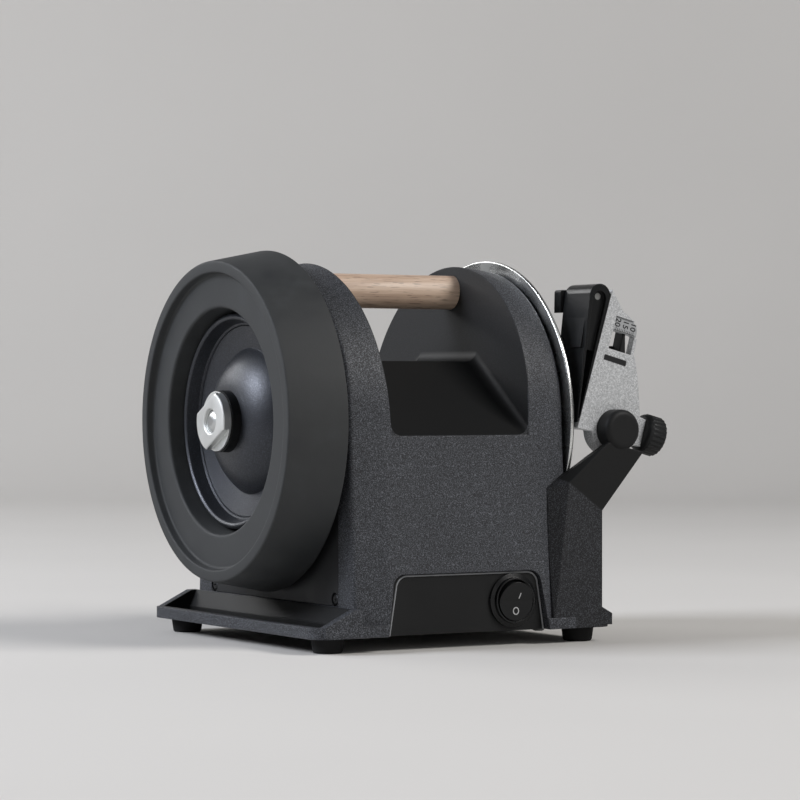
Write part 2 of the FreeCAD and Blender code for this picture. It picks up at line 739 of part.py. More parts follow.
def make_switch():
    """The switch panel, the switch's body with its round ring, the rocker and its terminals."""
    item = new_body("switch_panel")
    plate = new_sketch(item, "XZ_Plane", depth="{panel_front}")
    panel_outline(plate, "{gap}")
    ring(plate, "{switch_x}", "{switch_z}", "{switch_ring}")
    extrude(item, plate, "{panel_thick}", reverse=True)
    trim = new_sketch(item, "XY_Plane", depth="{foot_height}")
    outline(trim, rectangle("-60", "60", "-90", "-60"))
    extrude(item, trim, "5", cut=True)
    keep(item, "switch_panel")

    item = new_body("switch_body")
    place(item, "{switch_x}", "0", "{switch_z}")
    profile = new_sketch(item, "YZ_Plane")
    front = "-{panel_front}"
    outline(profile, [
        (front + " + 16", "0"), (front + " + 16", "{switch_ring} - 0.1"),
        (front, "{switch_ring} - 0.1"), (front, "{switch_flange}"),
        (front + " - 1.1", "{switch_flange}"), (front + " - 1.6", "{switch_ring}"),
        (front + " - {switch_stand}", "{switch_ring} - 0.25"), (front + " - {switch_stand}", "{switch_well}"),
        (front + " + 6", "{switch_well}"), (front + " + 6", "0"),
    ])
    revolve(item, profile)
    pin = new_sketch(item, "YZ_Plane")
    ring(pin, "-{panel_front} - {rocker_depth}", "0", "{rocker_pin}")
    extrude(item, pin, "2 * {switch_well} + 0.6", middle=True)
    keep(item, "switch_body")

    button = doc.addObject("Part::Cylinder", "rocker_button")
    bind(button, "Radius", "{rocker_radius}")
    bind(button, "Height", "2 * {rocker_radius}")
    button.Placement = Placement(Vector(0, value("{rocker_radius}"), 0), Rotation(Vector(1, 0, 0), 90))
    wedge = doc.addObject("Part::Feature", "rocker_wedge")
    reach = value("{rocker_radius}") + 2
    tilt = math.tan(math.radians(value("{rocker_angle}")))
    corners = [(-2.2, 0), (-2.2 - reach * tilt, reach), (3.2, reach), (3.2, -reach), (-2.2 - reach * tilt, -reach)]
    wire = Part.makePolygon([Vector(-reach, y, z) for y, z in corners + corners[:1]])
    wedge.Shape = Part.Face(wire).extrude(Vector(2 * reach, 0, 0))
    blank = doc.addObject("Part::Common", "rocker_blank")
    blank.Base = button
    blank.Tool = wedge
    bore = doc.addObject("Part::Cylinder", "rocker_bore")
    bind(bore, "Radius", "{rocker_pin} + 0.1")
    bind(bore, "Height", "2 * {rocker_radius}")
    bore.Placement = Placement(Vector(-value("{rocker_radius}"), 0, 0), Rotation(Vector(0, 1, 0), 90))
    rocker = cut("switch_rocker", blank, bore)
    place(rocker, "{switch_x}", "-{panel_front} - {rocker_depth}", "{switch_z}")
    rocker.Placement.Rotation = Rotation(Vector(1, 0, 0), value("{rocker_angle}"))
    keep(rocker, "switch_rocker")

    tabs = []
    for number, (x, z) in enumerate(((-4, 4), (4, 4), (-4, -4), (4, -4)), start=1):
        tab = doc.addObject("Part::Box", "terminal_%d" % number)
        bind(tab, "Length", "0.8")
        bind(tab, "Width", "8")
        bind(tab, "Height", "4.8")
        tabs.append(place(tab, "{switch_x} + %d" % x, "-{panel_front} + 16", "{switch_z} + %d - 2.4" % z))
    group = doc.addObject("Part::Compound", "switch_terminals")
    group.Links = tabs
    keep(group, "switch_terminals")


def make_gland():
    """The strain relief at the rear, where a lead would come in."""
    item = new_body("cord_gland")
    place(item, "{gland_x}", "0", "{gland_z}")
    back = "{base_half_depth} - {gland_seat}"
    profile = outline(new_sketch(item, "YZ_Plane"), [
        ("{room_front_low} - 5", "3"), (back + " + 8", "3"), (back + " + 8", "5.2"),
        (back + " + 1.6", "6.2"), (back + " + 1.6", "9"), (back, "9"),
        (back, "6.25"), ("{room_front_low} - 5", "6.25"),
    ])
    revolve(item, profile)
    keep(item, "cord_gland")


def make_shaft():
    """The main shaft, its bearings and spacers."""
    turned("main_shaft", [
        ("-{honing_face} - 0.6", "0"), ("{grinding_face} + 11", "0"),
        ("{grinding_face} + 11", "{thread_radius}"), ("{grinding_back}", "{thread_radius}"),
        ("{grinding_back}", "{shaft_radius}"), ("-{hub_back}", "{shaft_radius}"),
        ("-{hub_back}", "{thread_radius}"), ("-{honing_face} + 1", "{thread_radius}"),
        ("-{honing_face} - 0.6", "2", "6"),
    ])
    for side, label in ((-1, "bearing_left"), (1, "bearing_right")):
        item = new_body(label)
        profile = outline(new_sketch(item, "XZ_Plane", up="{shaft_height}"), tube_steps(
            "%d * {bearing_near}" % side, "%d * {bearing_far}" % side, "{shaft_radius} + {running_fit}",
            "{bearing_radius}"))
        revolve(item, profile)
        shield = new_sketch(item, "XZ_Plane", up="{shaft_height}")
        outline(shield, tube_steps("%d * ({bearing_far} - 0.8)" % side, "%d * ({bearing_far} + 1)" % side,
                                   "{shaft_radius} + 2.4", "{bearing_radius} - 2.4"))
        revolve(item, shield, cut=True)
        keep(item, label)
    turned("spacer_left", tube_steps("-{hub_back}", "-{bearing_far} - 0.3", "{shaft_radius}",
                                     "{spacer_radius}"))
    turned("spacer_right", tube_steps("{gear_near} + {gear_width}", "{grinding_back}",
                                      "{shaft_radius}", "{spacer_radius}"))


def make_honing_wheel():
    """The composite ring, its hub with the domed face, the washer and the flat-sided nut."""
    face = "-{honing_face}"
    ring_body = turned("honing_ring", [
        ("-{honing_back}", "{honing_bore}"), ("-{honing_back}", "{honing_back_radius}"),
        (face, "{honing_face_radius}"), (face, "{honing_lip_radius}"),
        (face + " + {honing_step}", "{honing_lip_radius} - 0.8"),
        (face + " + {honing_step}", "{honing_flat_radius}"),
        (face + " + {honing_wall_depth}", "{honing_flat_radius} - 1"),
        (face + " + {honing_wall_depth} + 0.3", "{honing_ledge_radius}"),
        (face + " + {honing_floor_depth}", "{honing_ledge_radius} - 1.9"),
        (face + " + {honing_floor_depth} + 0.3", "{honing_bore}"),
    ])
    step = value(face + " + {honing_step}")
    lip = value("{honing_lip_radius}")
    flat = value("{honing_flat_radius}")
    round_edges(ring_body, "1.2", lambda edge: is_circle(edge, flat, step) or is_circle(edge, lip - 0.8, step),
                kind="Chamfer")
    round_edges(ring_body, "0.7", lambda edge: is_circle(edge, lip, value(face))
                or is_circle(edge, value("{honing_face_radius}"), value(face))
                or is_circle(edge, value("{honing_back_radius}")), kind="Chamfer")
    hub_profile = [
        ("-{hub_back}", "{thread_radius}"), ("-{hub_back}", "{honing_bore}"),
        (face + " + {honing_floor_depth} + 0.3", "{honing_bore}"),
        (face + " + {hub_valley_depth}", "{hub_valley_radius}"),
        (face + " + {hub_nose_depth}", "{hub_nose_radius}", "{hub_dome}"),
        (face + " + {hub_nose_depth}", "{thread_radius}"),
    ]
    turned("honing_hub", hub_profile)
    nose = face + " + {hub_nose_depth}"
    turned("honing_washer", tube_steps(nose + " - {washer_thick}", nose, "{thread_radius}", "{washer_radius}"))
    make_nut("honing_nut", nose + " - {washer_thick} - {nut_thick}", 27)


def make_nut(label, low, turn):
    """A round nut with two flats for the spanner; its outer face has a small chamfer."""
    item = turned(label, tube_steps(low, low + " + {nut_thick}", "{thread_radius}", "{nut_radius}"))
    counter = new_sketch(item, "XZ_Plane", up="{shaft_height}")
    outline(counter, tube_steps(low + " - 1", low + " + 1.2", "0", "{nut_bore}"))
    revolve(item, counter, cut=True)
    round_edges(item, "0.5", lambda edge: is_circle(edge, value("{nut_radius}"), value(low)), kind="Chamfer")
    for side in (-1, 1):
        flat = new_sketch(item, "YZ_Plane", depth=low + " - 1", up="{shaft_height}")
        flat.AttachmentOffset = Placement(flat.AttachmentOffset.Base, Rotation(Vector(0, 0, 1), turn))
        bind(flat, "AttachmentOffset.Base.y", "{shaft_height}")
        bind(flat, "AttachmentOffset.Base.z", low + " - 1")
        if side > 0:
            outline(flat, rectangle("-20", "20", "{nut_flat}", "20"))
        else:
            outline(flat, rectangle("-20", "20", "-20", "-{nut_flat}"))
        extrude(item, flat, "{nut_thick} + 2", cut=True, reverse=True)
    return item


def make_grinding_wheel():
    """The steel disc with its cone-backed rim, the diamond ring, washer and nut."""
    turned("grinding_disc", [
        ("{grinding_back}", "{thread_radius}"), ("{grinding_face}", "{thread_radius}"),
        ("{grinding_face}", "{grinding_radius}"), ("{grinding_rim}", "{grinding_radius}"),
        ("{grinding_back}", "{grinding_cone_radius}"),
    ])
    turned("diamond_ring", tube_steps("{grinding_face}", "{grinding_face} + {diamond_thick}",
                                      "{diamond_inner}", "{diamond_outer}"))
    turned("grinding_washer", tube_steps("{grinding_face}", "{grinding_face} + 2.5",
                                         "{thread_radius}", "{washer_radius} + 2"))
    nut = turned("grinding_nut", tube_steps("{grinding_face} + 2.5", "{grinding_face} + 9",
                                            "{thread_radius}", "{nut_radius} - 2"))
    for side in (-1, 1):
        flat = new_sketch(nut, "YZ_Plane", depth="{grinding_face} + 2", up="{shaft_height}")
        edge = "%d * ({nut_radius} - 4)" % side
        outline(flat, rectangle("-20", "20", edge, "%d * 20" % side))
        extrude(nut, flat, "8", cut=True, reverse=True)


def tooth_points(teeth, module, root, tip, thin):
    """One gear's outline: involute flanks at 20 degrees, with a little play."""
    pitch = module * teeth / 2
    base = pitch * math.cos(math.radians(20))
    half = math.pi / 2 / teeth - thin / pitch / 2
    spread = math.tan(math.radians(20)) - math.radians(20)
    points = []
    for number in range(teeth):
        middle = 2 * math.pi * number / teeth
        flank = []
        low = max(base, root)
        for share in (0, 0.5, 1):
            radius = low + (tip - low) * share
            angle = math.acos(base / radius)
            flank.append((radius, half + spread - (math.tan(angle) - angle)))
        if root < base:
            flank.insert(0, (root, flank[0][1] + 0.1 / pitch))
        for radius, angle in flank:
            points.append((radius, middle - angle))
        for radius, angle in reversed(flank):
            points.append((radius, middle + angle))
    return points


def gear(label, teeth, bore, near, width, height, phase):
    """A spur gear about an axis along X; phase turns it, in tooth pitches."""
    module = value("{gear_module}")
    pitch = module * teeth / 2
    points = tooth_points(teeth, module, pitch - 1.2 * module, pitch + 0.85 * module, 0.06)
    shift = phase * 2 * math.pi / teeth
    corners = [Vector(0, r * math.sin(a + shift), r * math.cos(a + shift)) for r, a in points]
    blank = Part.Face(Part.makePolygon(corners + corners[:1])).extrude(Vector(value(width), 0, 0))
    item = doc.addObject("Part::Feature", label)
    hole = Part.makeCylinder(value(bore), value(width), Vector(0, 0, 0), Vector(1, 0, 0))
    item.Shape = blank.cut(hole)
    place(item, near, "0", height)
    return keep(item, label)


def make_gears():
    """The large gear on the main shaft, and the pinion on the motor's shaft."""
    teeth = int(value("{gear_teeth}"))
    small = int(value("{pinion_teeth}"))
    below = 0.5 if teeth % 2 else 0.0
    gear("main_gear", teeth, "{shaft_radius}", "{gear_near}", "{gear_width}", "{shaft_height}", below)
    gear("motor_pinion", small, "{motor_shaft_radius}", "{gear_near} - 0.4", "{gear_width} + 0.8",
         MOTOR_HEIGHT, 0.5)


def motor_part(label, steps):
    """A body turned about the motor's axis."""
    item = new_body(label)
    profile = outline(new_sketch(item, "XZ_Plane", up=MOTOR_HEIGHT), steps)
    revolve(item, profile)
    return keep(item, label)


def make_motor():
    """The motor under the shaft: stator, two windings, rotor, end brackets and bolts."""
    motor_part("motor_stator", tube_steps("-{stator_left}", "{stator_right}", "{stator_bore}", "{stator_radius}"))
    for side, label in ((-1, "motor_winding_left"), (1, "motor_winding_right")):
        start = "%d * {stator_right}" % side
        end = "%d * ({stator_right} + {winding_length})" % side
        motor_part(label, tube_steps(start, end, "{stator_bore} + 1.6", "{stator_radius} - 5"))
    motor_part("motor_rotor", tube_steps("-{stator_left}", "{stator_right}", "{motor_shaft_radius}",
                                         "{rotor_radius}"))
    motor_part("motor_shaft", [
        ("-{web_inner} + 2", "0"), ("{gear_near} + {gear_width}", "0"),
        ("{gear_near} + {gear_width}", "{motor_shaft_radius}"), ("-{web_inner} + 2", "{motor_shaft_radius}"),
    ])
    inner = "{stator_right} + {winding_length} + 2"
    for side, label in ((-1, "motor_bracket_left"), (1, "motor_bracket_right")):
        low = "%d * (%s)" % (side, inner)
        high = "%d * (%s + 4)" % (side, inner)
        bracket = motor_part(label, tube_steps(low, high, "{motor_shaft_radius} + 0.05", "{stator_radius}"))
        skirt = new_sketch(bracket, "XZ_Plane", up=MOTOR_HEIGHT)
        outline(skirt, tube_steps("%d * {stator_right}" % side, "%d * (%s + 1)" % (side, inner),
                                  "{stator_radius} - 3", "{stator_radius}"))
        revolve(bracket, skirt)
        foot = new_sketch(bracket, "XZ_Plane", up=MOTOR_HEIGHT)
        outline(foot, tube_steps("%d * (%s + 1)" % (side, inner), "%d * {web_inner}" % side,
                                 "{stator_radius} - 8", "{stator_radius}"))
        revolve(bracket, foot)
    item = new_body("capacitor")
    place(item, "-{capacitor_length} / 2", "{capacitor_y}", "{foot_height} + {plate_thick} + {gap} + {capacitor_radius}")
    profile = outline(new_sketch(item, "XZ_Plane"), tube_steps("0", "{capacitor_length}", "0", "{capacitor_radius}"))
    revolve(item, profile)
    keep(item, "capacitor")


def arm_corners():
    """The named corners of the pillar and the leaning arm above it."""
    low = value("{foot_height}") + 1
    front = -value("{pillar_front}")
    back = -value("{pillar_back}")
    right = value("{pillar_right}")
    fold_left = Vector(value("{pillar_left_high}"), front, value("{fold_left_z}"))
    fold_right = Vector(right, front, value("{fold_right_z}"))
    along = (fold_right - fold_left).normalize()
    across = Vector(-along.z, 0, along.x)
    lean = value("{arm_lean}")

    def shoulder(x, z):
        point = Vector(x, front, z)
        rise = (point - fold_left).dot(across)
        return Vector(x, front - lean * rise, z)

    left_x = value("{shoulder_left_x}")
    left_z = value("{shoulder_left_z}")
    right_x = value("{shoulder_right_x}")
    right_z = value("{shoulder_right_z}")
    shoulder_back = -value("{shoulder_back}")
    left_low = value("{pillar_left_low}")
    return {
        "base_left": Vector(left_low, front, low),
        "base_right": Vector(right, front, low),
        "base_right_back": Vector(right, back, low),
        "base_left_back": Vector(left_low - 1, back, low),
        "fold_left": fold_left,
        "fold_right": fold_right,
        "fold_right_back": Vector(right, back, value("{fold_right_z}") - 6),
        "body_edge": Vector(42, -71, 67),
        "body_edge_back": Vector(left_low - 1, back, 66),
        "shoulder_left": shoulder(left_x, left_z),
        "shoulder_right": shoulder(right_x, right_z),
        "shoulder_left_back": Vector(left_x + 2, shoulder_back, left_z),
        "shoulder_right_back": Vector(right_x, shoulder_back, right_z),
    }


ARM_FACES = [
    "base_left base_right fold_right fold_left",
    "fold_left fold_right shoulder_right", "fold_left shoulder_right shoulder_left",
    "base_left fold_left body_edge", "base_left body_edge body_edge_back",
    "base_left body_edge_back base_left_back",
    "fold_left shoulder_left body_edge", "body_edge shoulder_left shoulder_left_back",
    "body_edge shoulder_left_back body_edge_back",
    "base_left_back body_edge_back base_right_back", "body_edge_back fold_right_back base_right_back",
    "body_edge_back shoulder_left_back fold_right_back",
    "shoulder_left_back shoulder_right_back fold_right_back",
    "base_right base_right_back fold_right_back fold_right",
    "fold_right fold_right_back shoulder_right_back", "fold_right shoulder_right_back shoulder_right",
    "shoulder_left shoulder_right shoulder_right_back", "shoulder_left shoulder_right_back shoulder_left_back",
    "base_left base_left_back base_right_back base_right",
]


def make_guide_support():
    """The casting at the right: a ledge under the grinding wheel, a pillar, an arm and a knuckle."""
    ledge = new_body("guide_support_ledge")
    plan_sketch = new_sketch(ledge, "XY_Plane", depth="{foot_height}")
    outline(plan_sketch, [
        ("{side_x}", "{base_half_depth}"), ("{side_x}", "-{base_half_depth}"),
        ("{base_right} - {base_corner}", "-{base_half_depth}"),
        ("{base_right}", "-{base_half_depth} + {base_corner}", "{base_corner}"),
        ("{base_right}", "{base_half_depth} - {base_corner}"),
        ("{base_right} - {base_corner}", "{base_half_depth}", "{base_corner}"),
    ])
    extrude(ledge, plan_sketch, "{tray_height} + 1")
    recess = new_sketch(ledge, "XY_Plane", depth="{foot_height} + {tray_height} + 1")
    outline(recess, rectangle("{side_x} + 4.4", "{base_right} - {tray_lip}",
                              "-{base_half_depth} + {tray_lip}", "{base_half_depth} - {tray_lip}"))
    extrude(ledge, recess, "{tray_recess}", cut=True)
    rise = new_sketch(ledge, "XZ_Plane", depth="-{base_half_depth} + {tray_lip}")
    outline(rise, [
        ("{side_x}", "{foot_height} + 1"), ("{base_right} - 1.4", "{foot_height} + 1"),
        ("{base_right} - 1.4", "{foot_height} + {tray_height} + 1"),
        ("{side_x} + 3", "{foot_height} + {flare_rise}"), ("{side_x}", "{foot_height} + {flare_rise}"),
    ])
    extrude(ledge, rise, "{tray_lip}", reverse=True)
    rib = new_sketch(ledge, "XZ_Plane")
    outline(rib, rectangle("{side_x}", "{side_x} + 4.4", "{foot_height} + 1", "{foot_height} + {flare_rise}"))
    extrude(ledge, rib, "2 * {base_half_depth} - 2 * {tray_lip}", middle=True)
    holes = new_sketch(ledge, "YZ_Plane", depth="{side_x} + 6", up=SUPPORT_SCREW_HEIGHT)
    for side in (-1, 1):
        ring(holes, "%d * 40" % side, "0", "1.6")
    extrude(ledge, holes, "8", cut=True)
    front_rise = new_sketch(ledge, "XZ_Plane", depth="{base_half_depth}")
    outline(front_rise, [
        ("{side_x}", "{foot_height} + 1"), ("{base_right} - 1.4", "{foot_height} + 1"),
        ("{base_right} - 1.4", "{foot_height} + {tray_height} + 1"),
        ("{pillar_right} - 0.5", "{foot_height} + {tray_height} + 4.2"),
        ("{side_x}", "{foot_height} + {tray_height} + 4.2"),
    ])
    extrude(ledge, front_rise, "{tray_lip}", reverse=True)

    corners = arm_corners()
    faces = []
    for names in ARM_FACES:
        loop = [corners[name] for name in names.split()]
        faces.append(Part.Face(Part.makePolygon(loop + loop[:1])))
    shell = Part.makeShell(faces)
    shell.sewShape()
    solid = Part.makeSolid(shell)
    if solid.Volume < 0:
        solid.reverse()
    arm = doc.addObject("Part::Feature", "guide_support_arm")
    arm.Shape = solid
    place(arm)
    knuckle = new_body("guide_support_knuckle")
    profile = new_sketch(knuckle, "XZ_Plane", depth="{knuckle_front}")
    ring(profile, "{pivot_x}", "{pivot_z}", "{knuckle_radius}")
    extrude(knuckle, profile, "{knuckle_front} - {knuckle_back}", reverse=True)
    round_edges(knuckle, "{knuckle_round}", lambda edge: is_circle(edge, value("{knuckle_radius}"))
                and abs(edge.Curve.Center.y + value("{knuckle_front}")) < 0.1)
    bore = cylinder("guide_support_bore", "{pin_radius}", "8", "{pivot_x}", "-{knuckle_back} - 5",
                    "{pivot_z}", Vector(0, 1, 0))
    space = new_body("guide_support_space")
    loft(space, housing_sections(space, "0.02"))
    slab = new_sketch(space, "XY_Plane")
    outline(slab, rectangle("0", "{side_x}", "-{base_half_depth} - 2", "{base_half_depth} + 2"))
    extrude(space, slab, "{foot_height} + {tray_height}")
    wheel = new_sketch(space, "YZ_Plane", depth="{side_x} - 1", up="{shaft_height}")
    ring(wheel, "0", "0", "{wheel_clearance}")
    extrude(space, wheel, "9")
    whole = fuse("guide_support_blank", [ledge, arm, knuckle])
    tools = fuse("guide_support_tools", [space, bore])
    keep(cut("guide_support", whole, tools), "guide_support")
    spots = [("{side_x} + 4.4", "%d * 40" % side, SUPPORT_SCREW_HEIGHT) for side in (-1, 1)]
    screws("support_screws", spots, Vector(-1, 0, 0), "2.8", "1.6", "1.5", "12")


def guide_body(label):
    """An empty body in the leaning frame of the guide: x and z from the pivot, y as in the machine."""
    item = doc.addObject("PartDesign::Body", label)
    place(item, "{pivot_x}", "0", "{pivot_z}")
    lean_item(item)
    return item


def lean_item(item):
    """Lean a guide piece over by the rest angle."""
    base = item.Placement.Base
    item.Placement = Placement(base, Rotation(Vector(0, 1, 0), value("{guide_lean}")))


def make_guide():
    """The guide casting, its scale, the fixed pointer and the pivot pin."""
    item = guide_body("guide_body")
    plate = new_sketch(item, "XZ_Plane", depth="{guide_front}")
    outline(plate, [
        ("{edge_bottom_u}", "{edge_bottom_v}"), ("-6", "-3.4"), ("{knob_seat}", "-3.6"),
        ("{knob_seat}", "8.4"), ("12.4", "9.1"), ("7.1", "24.7"), ("3.2", "33.3"),
        ("2.0", "34.6"), ("1.7", "44.5"), ("-1.6", "49.2", "4.6"), ("-5.4", "50.9"),
        ("-8.0", "51.6"), ("{edge_top_u}", "{edge_top_v}"),
    ])
    extrude(item, plate, "{guide_plate}", reverse=True)
    flange = new_sketch(item, "XZ_Plane", depth="{guide_front}")
    outline(flange, [
        ("{edge_bottom_u}", "{edge_bottom_v}"), ("{edge_bottom_u} + 3.4", "{edge_bottom_v}"),
        ("{edge_top_u} + 2.6", "{edge_top_v} - 8"), ("{edge_top_u} + 0.4", "{edge_top_v}"),
        ("{edge_top_u}", "{edge_top_v}"),
    ])
    extrude(item, flange, "{guide_depth}", reverse=True)
    boss = new_sketch(item, "XZ_Plane", depth="{guide_front}")
    ring(boss, "0", "0", "{guide_boss_radius}")
    extrude(item, boss, "{guide_front} - {guide_boss_back}", reverse=True)
    block = new_sketch(item, "XZ_Plane", depth="{guide_front}")
    outline(block, rectangle("4", "{knob_seat}", "{knob_v} - 6.4", "{knob_v} + 5"))
    extrude(item, block, "{guide_front} - {guide_boss_back}", reverse=True)
    hole = new_sketch(item, "XZ_Plane", depth="{guide_front} + 1")
    ring(hole, "0", "0", "{pin_radius} + 0.05")
    extrude(item, hole, "20", cut=True)
    stud = new_sketch(item, "YZ_Plane", depth="{knob_seat} + 1")
    ring(stud, "-{knob_y}", "{knob_v}", "{stud_radius} + 0.05")
    extrude(item, stud, "{knob_seat} - {pin_radius}", cut=True)
    window = new_sketch(item, "XZ_Plane", depth="{guide_front} + 1")
    outline(window, [("-11.7", "34"), ("0.4", "34.2"), ("0.4", "42.6"), ("-11.5", "42.6")])
    extrude(item, window, "6", cut=True)
    recess = new_sketch(item, "XZ_Plane", depth="{guide_front} + 1")
    outline(recess, [("-11.5", "42"), ("4", "42"), ("4", "49"), ("-11.3", "49")])
    extrude(item, recess, "2.2", cut=True)
    keep(item, "guide_body")

    scale = guide_body("scale_plate")
    face = new_sketch(scale, "XZ_Plane", depth="{guide_front} - 1.2")
    outline(face, [("-11.4", "42.7"), ("1.5", "42.7"), ("1.4", "45"), ("-1.7", "48.8", "4.4"), ("-11.2", "48.8")])
    extrude(scale, face, "0.6")
    keep(scale, "scale_plate")

    pointer = new_body("angle_pointer")
    strip = new_sketch(pointer, "XZ_Plane", depth="{guide_boss_back} - 0.4")
    outline(strip, [
        ("{pivot_x} - 5.5", "{pivot_z} - 5"), ("{pivot_x} + 5.5", "{pivot_z} - 5"),
        ("{pivot_x} + 7.6", "{pivot_z} + 34"), ("{pivot_x} + 7.6", "{pivot_z} + 37"),
        ("{pivot_x} + 2.6", "{pivot_z} + 37"), ("{pivot_x} + 1.6", "{pivot_z} + 34"),
    ])
    extrude(pointer, strip, "1.2", reverse=True)
    tip = new_sketch(pointer, "XZ_Plane", depth="{guide_front} - 1.4")
    outline(tip, [
        ("{pivot_x} + 3.6", "{pivot_z} + 35.8"), ("{pivot_x} + 6.4", "{pivot_z} + 35.8"),
        ("{pivot_x} + 6.4", "{pivot_z} + 41.6"), ("{pivot_x} + 6", "{pivot_z} + 41.6"),
    ])
    extrude(pointer, tip, "{guide_front} - 1.4 - {guide_boss_back} + 1.6", reverse=True)
    hole = new_sketch(pointer, "XZ_Plane", depth="{guide_front}")
    ring(hole, "{pivot_x}", "{pivot_z}", "{pin_radius} - 1")
    extrude(pointer, hole, "20", cut=True)
    keep(pointer, "angle_pointer")

    pin = new_body("pivot_pin")
    place(pin, "{pivot_x}", "0", "{pivot_z}")
    profile = outline(new_sketch(pin, "YZ_Plane"), [
        ("-{knuckle_back} - 5", "0"), ("-{pin_back}", "0"), ("-{pin_back}", "{pin_radius} - 1"),
        ("-{guide_boss_back} + 0.35", "{pin_radius} - 1"), ("-{guide_boss_back} + 0.35", "{pin_radius}"),
        ("-{knuckle_back} - 5", "{pin_radius}"),
    ])
    revolve(pin, profile)
    keep(pin, "pivot_pin")
    nut = cylinder("pivot_nut_blank", "5.6", "3.2", "{pivot_x}", "-{guide_boss_back} + 1.65", "{pivot_z}",
                   Vector(0, 1, 0))
    hole = cylinder("pivot_nut_bore", "{pin_radius} - 1", "3.2", "{pivot_x}", "-{guide_boss_back} + 1.65",
                    "{pivot_z}", Vector(0, 1, 0))
    keep(cut("pivot_nut", nut, hole), "pivot_nut")


def make_guide_clamp():
    """The black blade rest beside the guide, and the sprung release lever on its pin."""
    rest = guide_body("blade_rest")
    bar = new_sketch(rest, "XZ_Plane", depth="{guide_front}")
    arch = "{clamp_arch}"
    inner = "({clamp_arch} - 2)"
    outline(bar, [
        ("{edge_bottom_u} + 0.05", "0.5"), ("{edge_top_u} - 0.25", "{clamp_pin_v}"),
        ("{clamp_pin_u}", "{clamp_pin_v} + " + arch, arch),
        ("{clamp_pin_u} - " + arch, "{clamp_pin_v}", arch),
        ("{edge_bottom_u} - 0.9", "-1.5"), ("{edge_bottom_u} - 0.6", "-1.5"),
        ("{clamp_pin_u} - " + inner, "{clamp_pin_v} - 1"),
        ("{clamp_pin_u}", "{clamp_pin_v} + %s - 1" % inner, "-" + inner),
        ("{clamp_pin_u} + %s" % inner, "{clamp_pin_v} - 1", "-" + inner),
        ("{edge_bottom_u} - 0.35", "0.5"),
    ])
    extrude(rest, bar, "{guide_depth} - 3", reverse=True)
    web = new_sketch(rest, "XZ_Plane", depth="{guide_front} - 2")
    outline(web, [
        ("{edge_top_u} - 1.4", "{clamp_pin_v} - 24"), ("{edge_top_u} - 1", "{clamp_pin_v}"),
        ("{clamp_pin_u}", "{clamp_pin_v} + 4.6"), ("{clamp_pin_u} - 4.6", "{clamp_pin_v}"),
        ("{clamp_pin_u} - 3.2", "{clamp_pin_v} - 24"),
    ])
    extrude(rest, web, "{guide_depth} - 6", reverse=True)
    back = new_sketch(rest, "XZ_Plane", depth="{guide_front} - {guide_depth} + 3.2")
    outline(back, [
        ("{edge_bottom_u} + 0.05", "4"), ("{edge_top_u} - 0.5", "{clamp_pin_v} - 6"),
        ("{edge_top_u} - 2.6", "{clamp_pin_v} - 9"), ("{edge_bottom_u} - 1.4", "4"),
    ])
    extrude(rest, back, "9", reverse=True)
    hole = new_sketch(rest, "XZ_Plane", depth="{guide_front} + 1")
    ring(hole, "{clamp_pin_u}", "{clamp_pin_v}", "{clamp_pin_radius}")
    extrude(rest, hole, "{guide_depth} + 10", cut=True)
    keep(rest, "blade_rest")

    pin = guide_body("clamp_pin")
    rod = new_sketch(pin, "XZ_Plane", depth="{guide_front} - 2")
    ring(rod, "{clamp_pin_u}", "{clamp_pin_v}", "{clamp_pin_radius}")
    extrude(pin, rod, "{guide_depth} + 2", reverse=True)
    keep(pin, "clamp_pin")

    lever = guide_body("clamp_lever")
    hook = new_sketch(lever, "XZ_Plane", depth="{guide_front} - {guide_depth} + 2.6")
    outline(hook, [
        ("{clamp_pin_u} + 3", "{clamp_pin_v} - 1.5"), ("{clamp_pin_u} + 3", "{clamp_pin_v} + 1.4"),
        ("{clamp_pin_u}", "{clamp_pin_v} + 3.4", "4"), ("{clamp_pin_u} - 6.6", "{clamp_pin_v} + 1.6"),
        ("{clamp_pin_u} - 7.6", "{clamp_pin_v} + 0.4", "1.4"), ("{clamp_pin_u} - 5.4", "{clamp_pin_v} - 8.6"),
        ("{clamp_pin_u} - 3.4", "{clamp_pin_v} - 8"), ("{clamp_pin_u} - 4.6", "{clamp_pin_v} - 1.2"),
    ])
    extrude(lever, hook, "5", reverse=True)
    hole = new_sketch(lever, "XZ_Plane", depth="{guide_front}")
    ring(hole, "{clamp_pin_u}", "{clamp_pin_v}", "{clamp_pin_radius} + 0.05")
    extrude(lever, hole, "40", cut=True)
    keep(lever, "clamp_lever")

    leaf = guide_body("clamp_leaf")
    strip = new_sketch(leaf, "XZ_Plane", depth="{guide_front} - {guide_depth} + 2.8")
    outline(strip, [
        ("{edge_top_u} - 3.35", "{clamp_pin_v} - 14"), ("{edge_top_u} - 2.95", "{clamp_pin_v} - 14"),
        ("{clamp_pin_u} + 0.2", "{clamp_pin_v} - 2.6"), ("{clamp_pin_u} - 0.2", "{clamp_pin_v} - 2.6"),
    ])
    extrude(leaf, strip, "4", reverse=True)
    keep(leaf, "clamp_leaf")


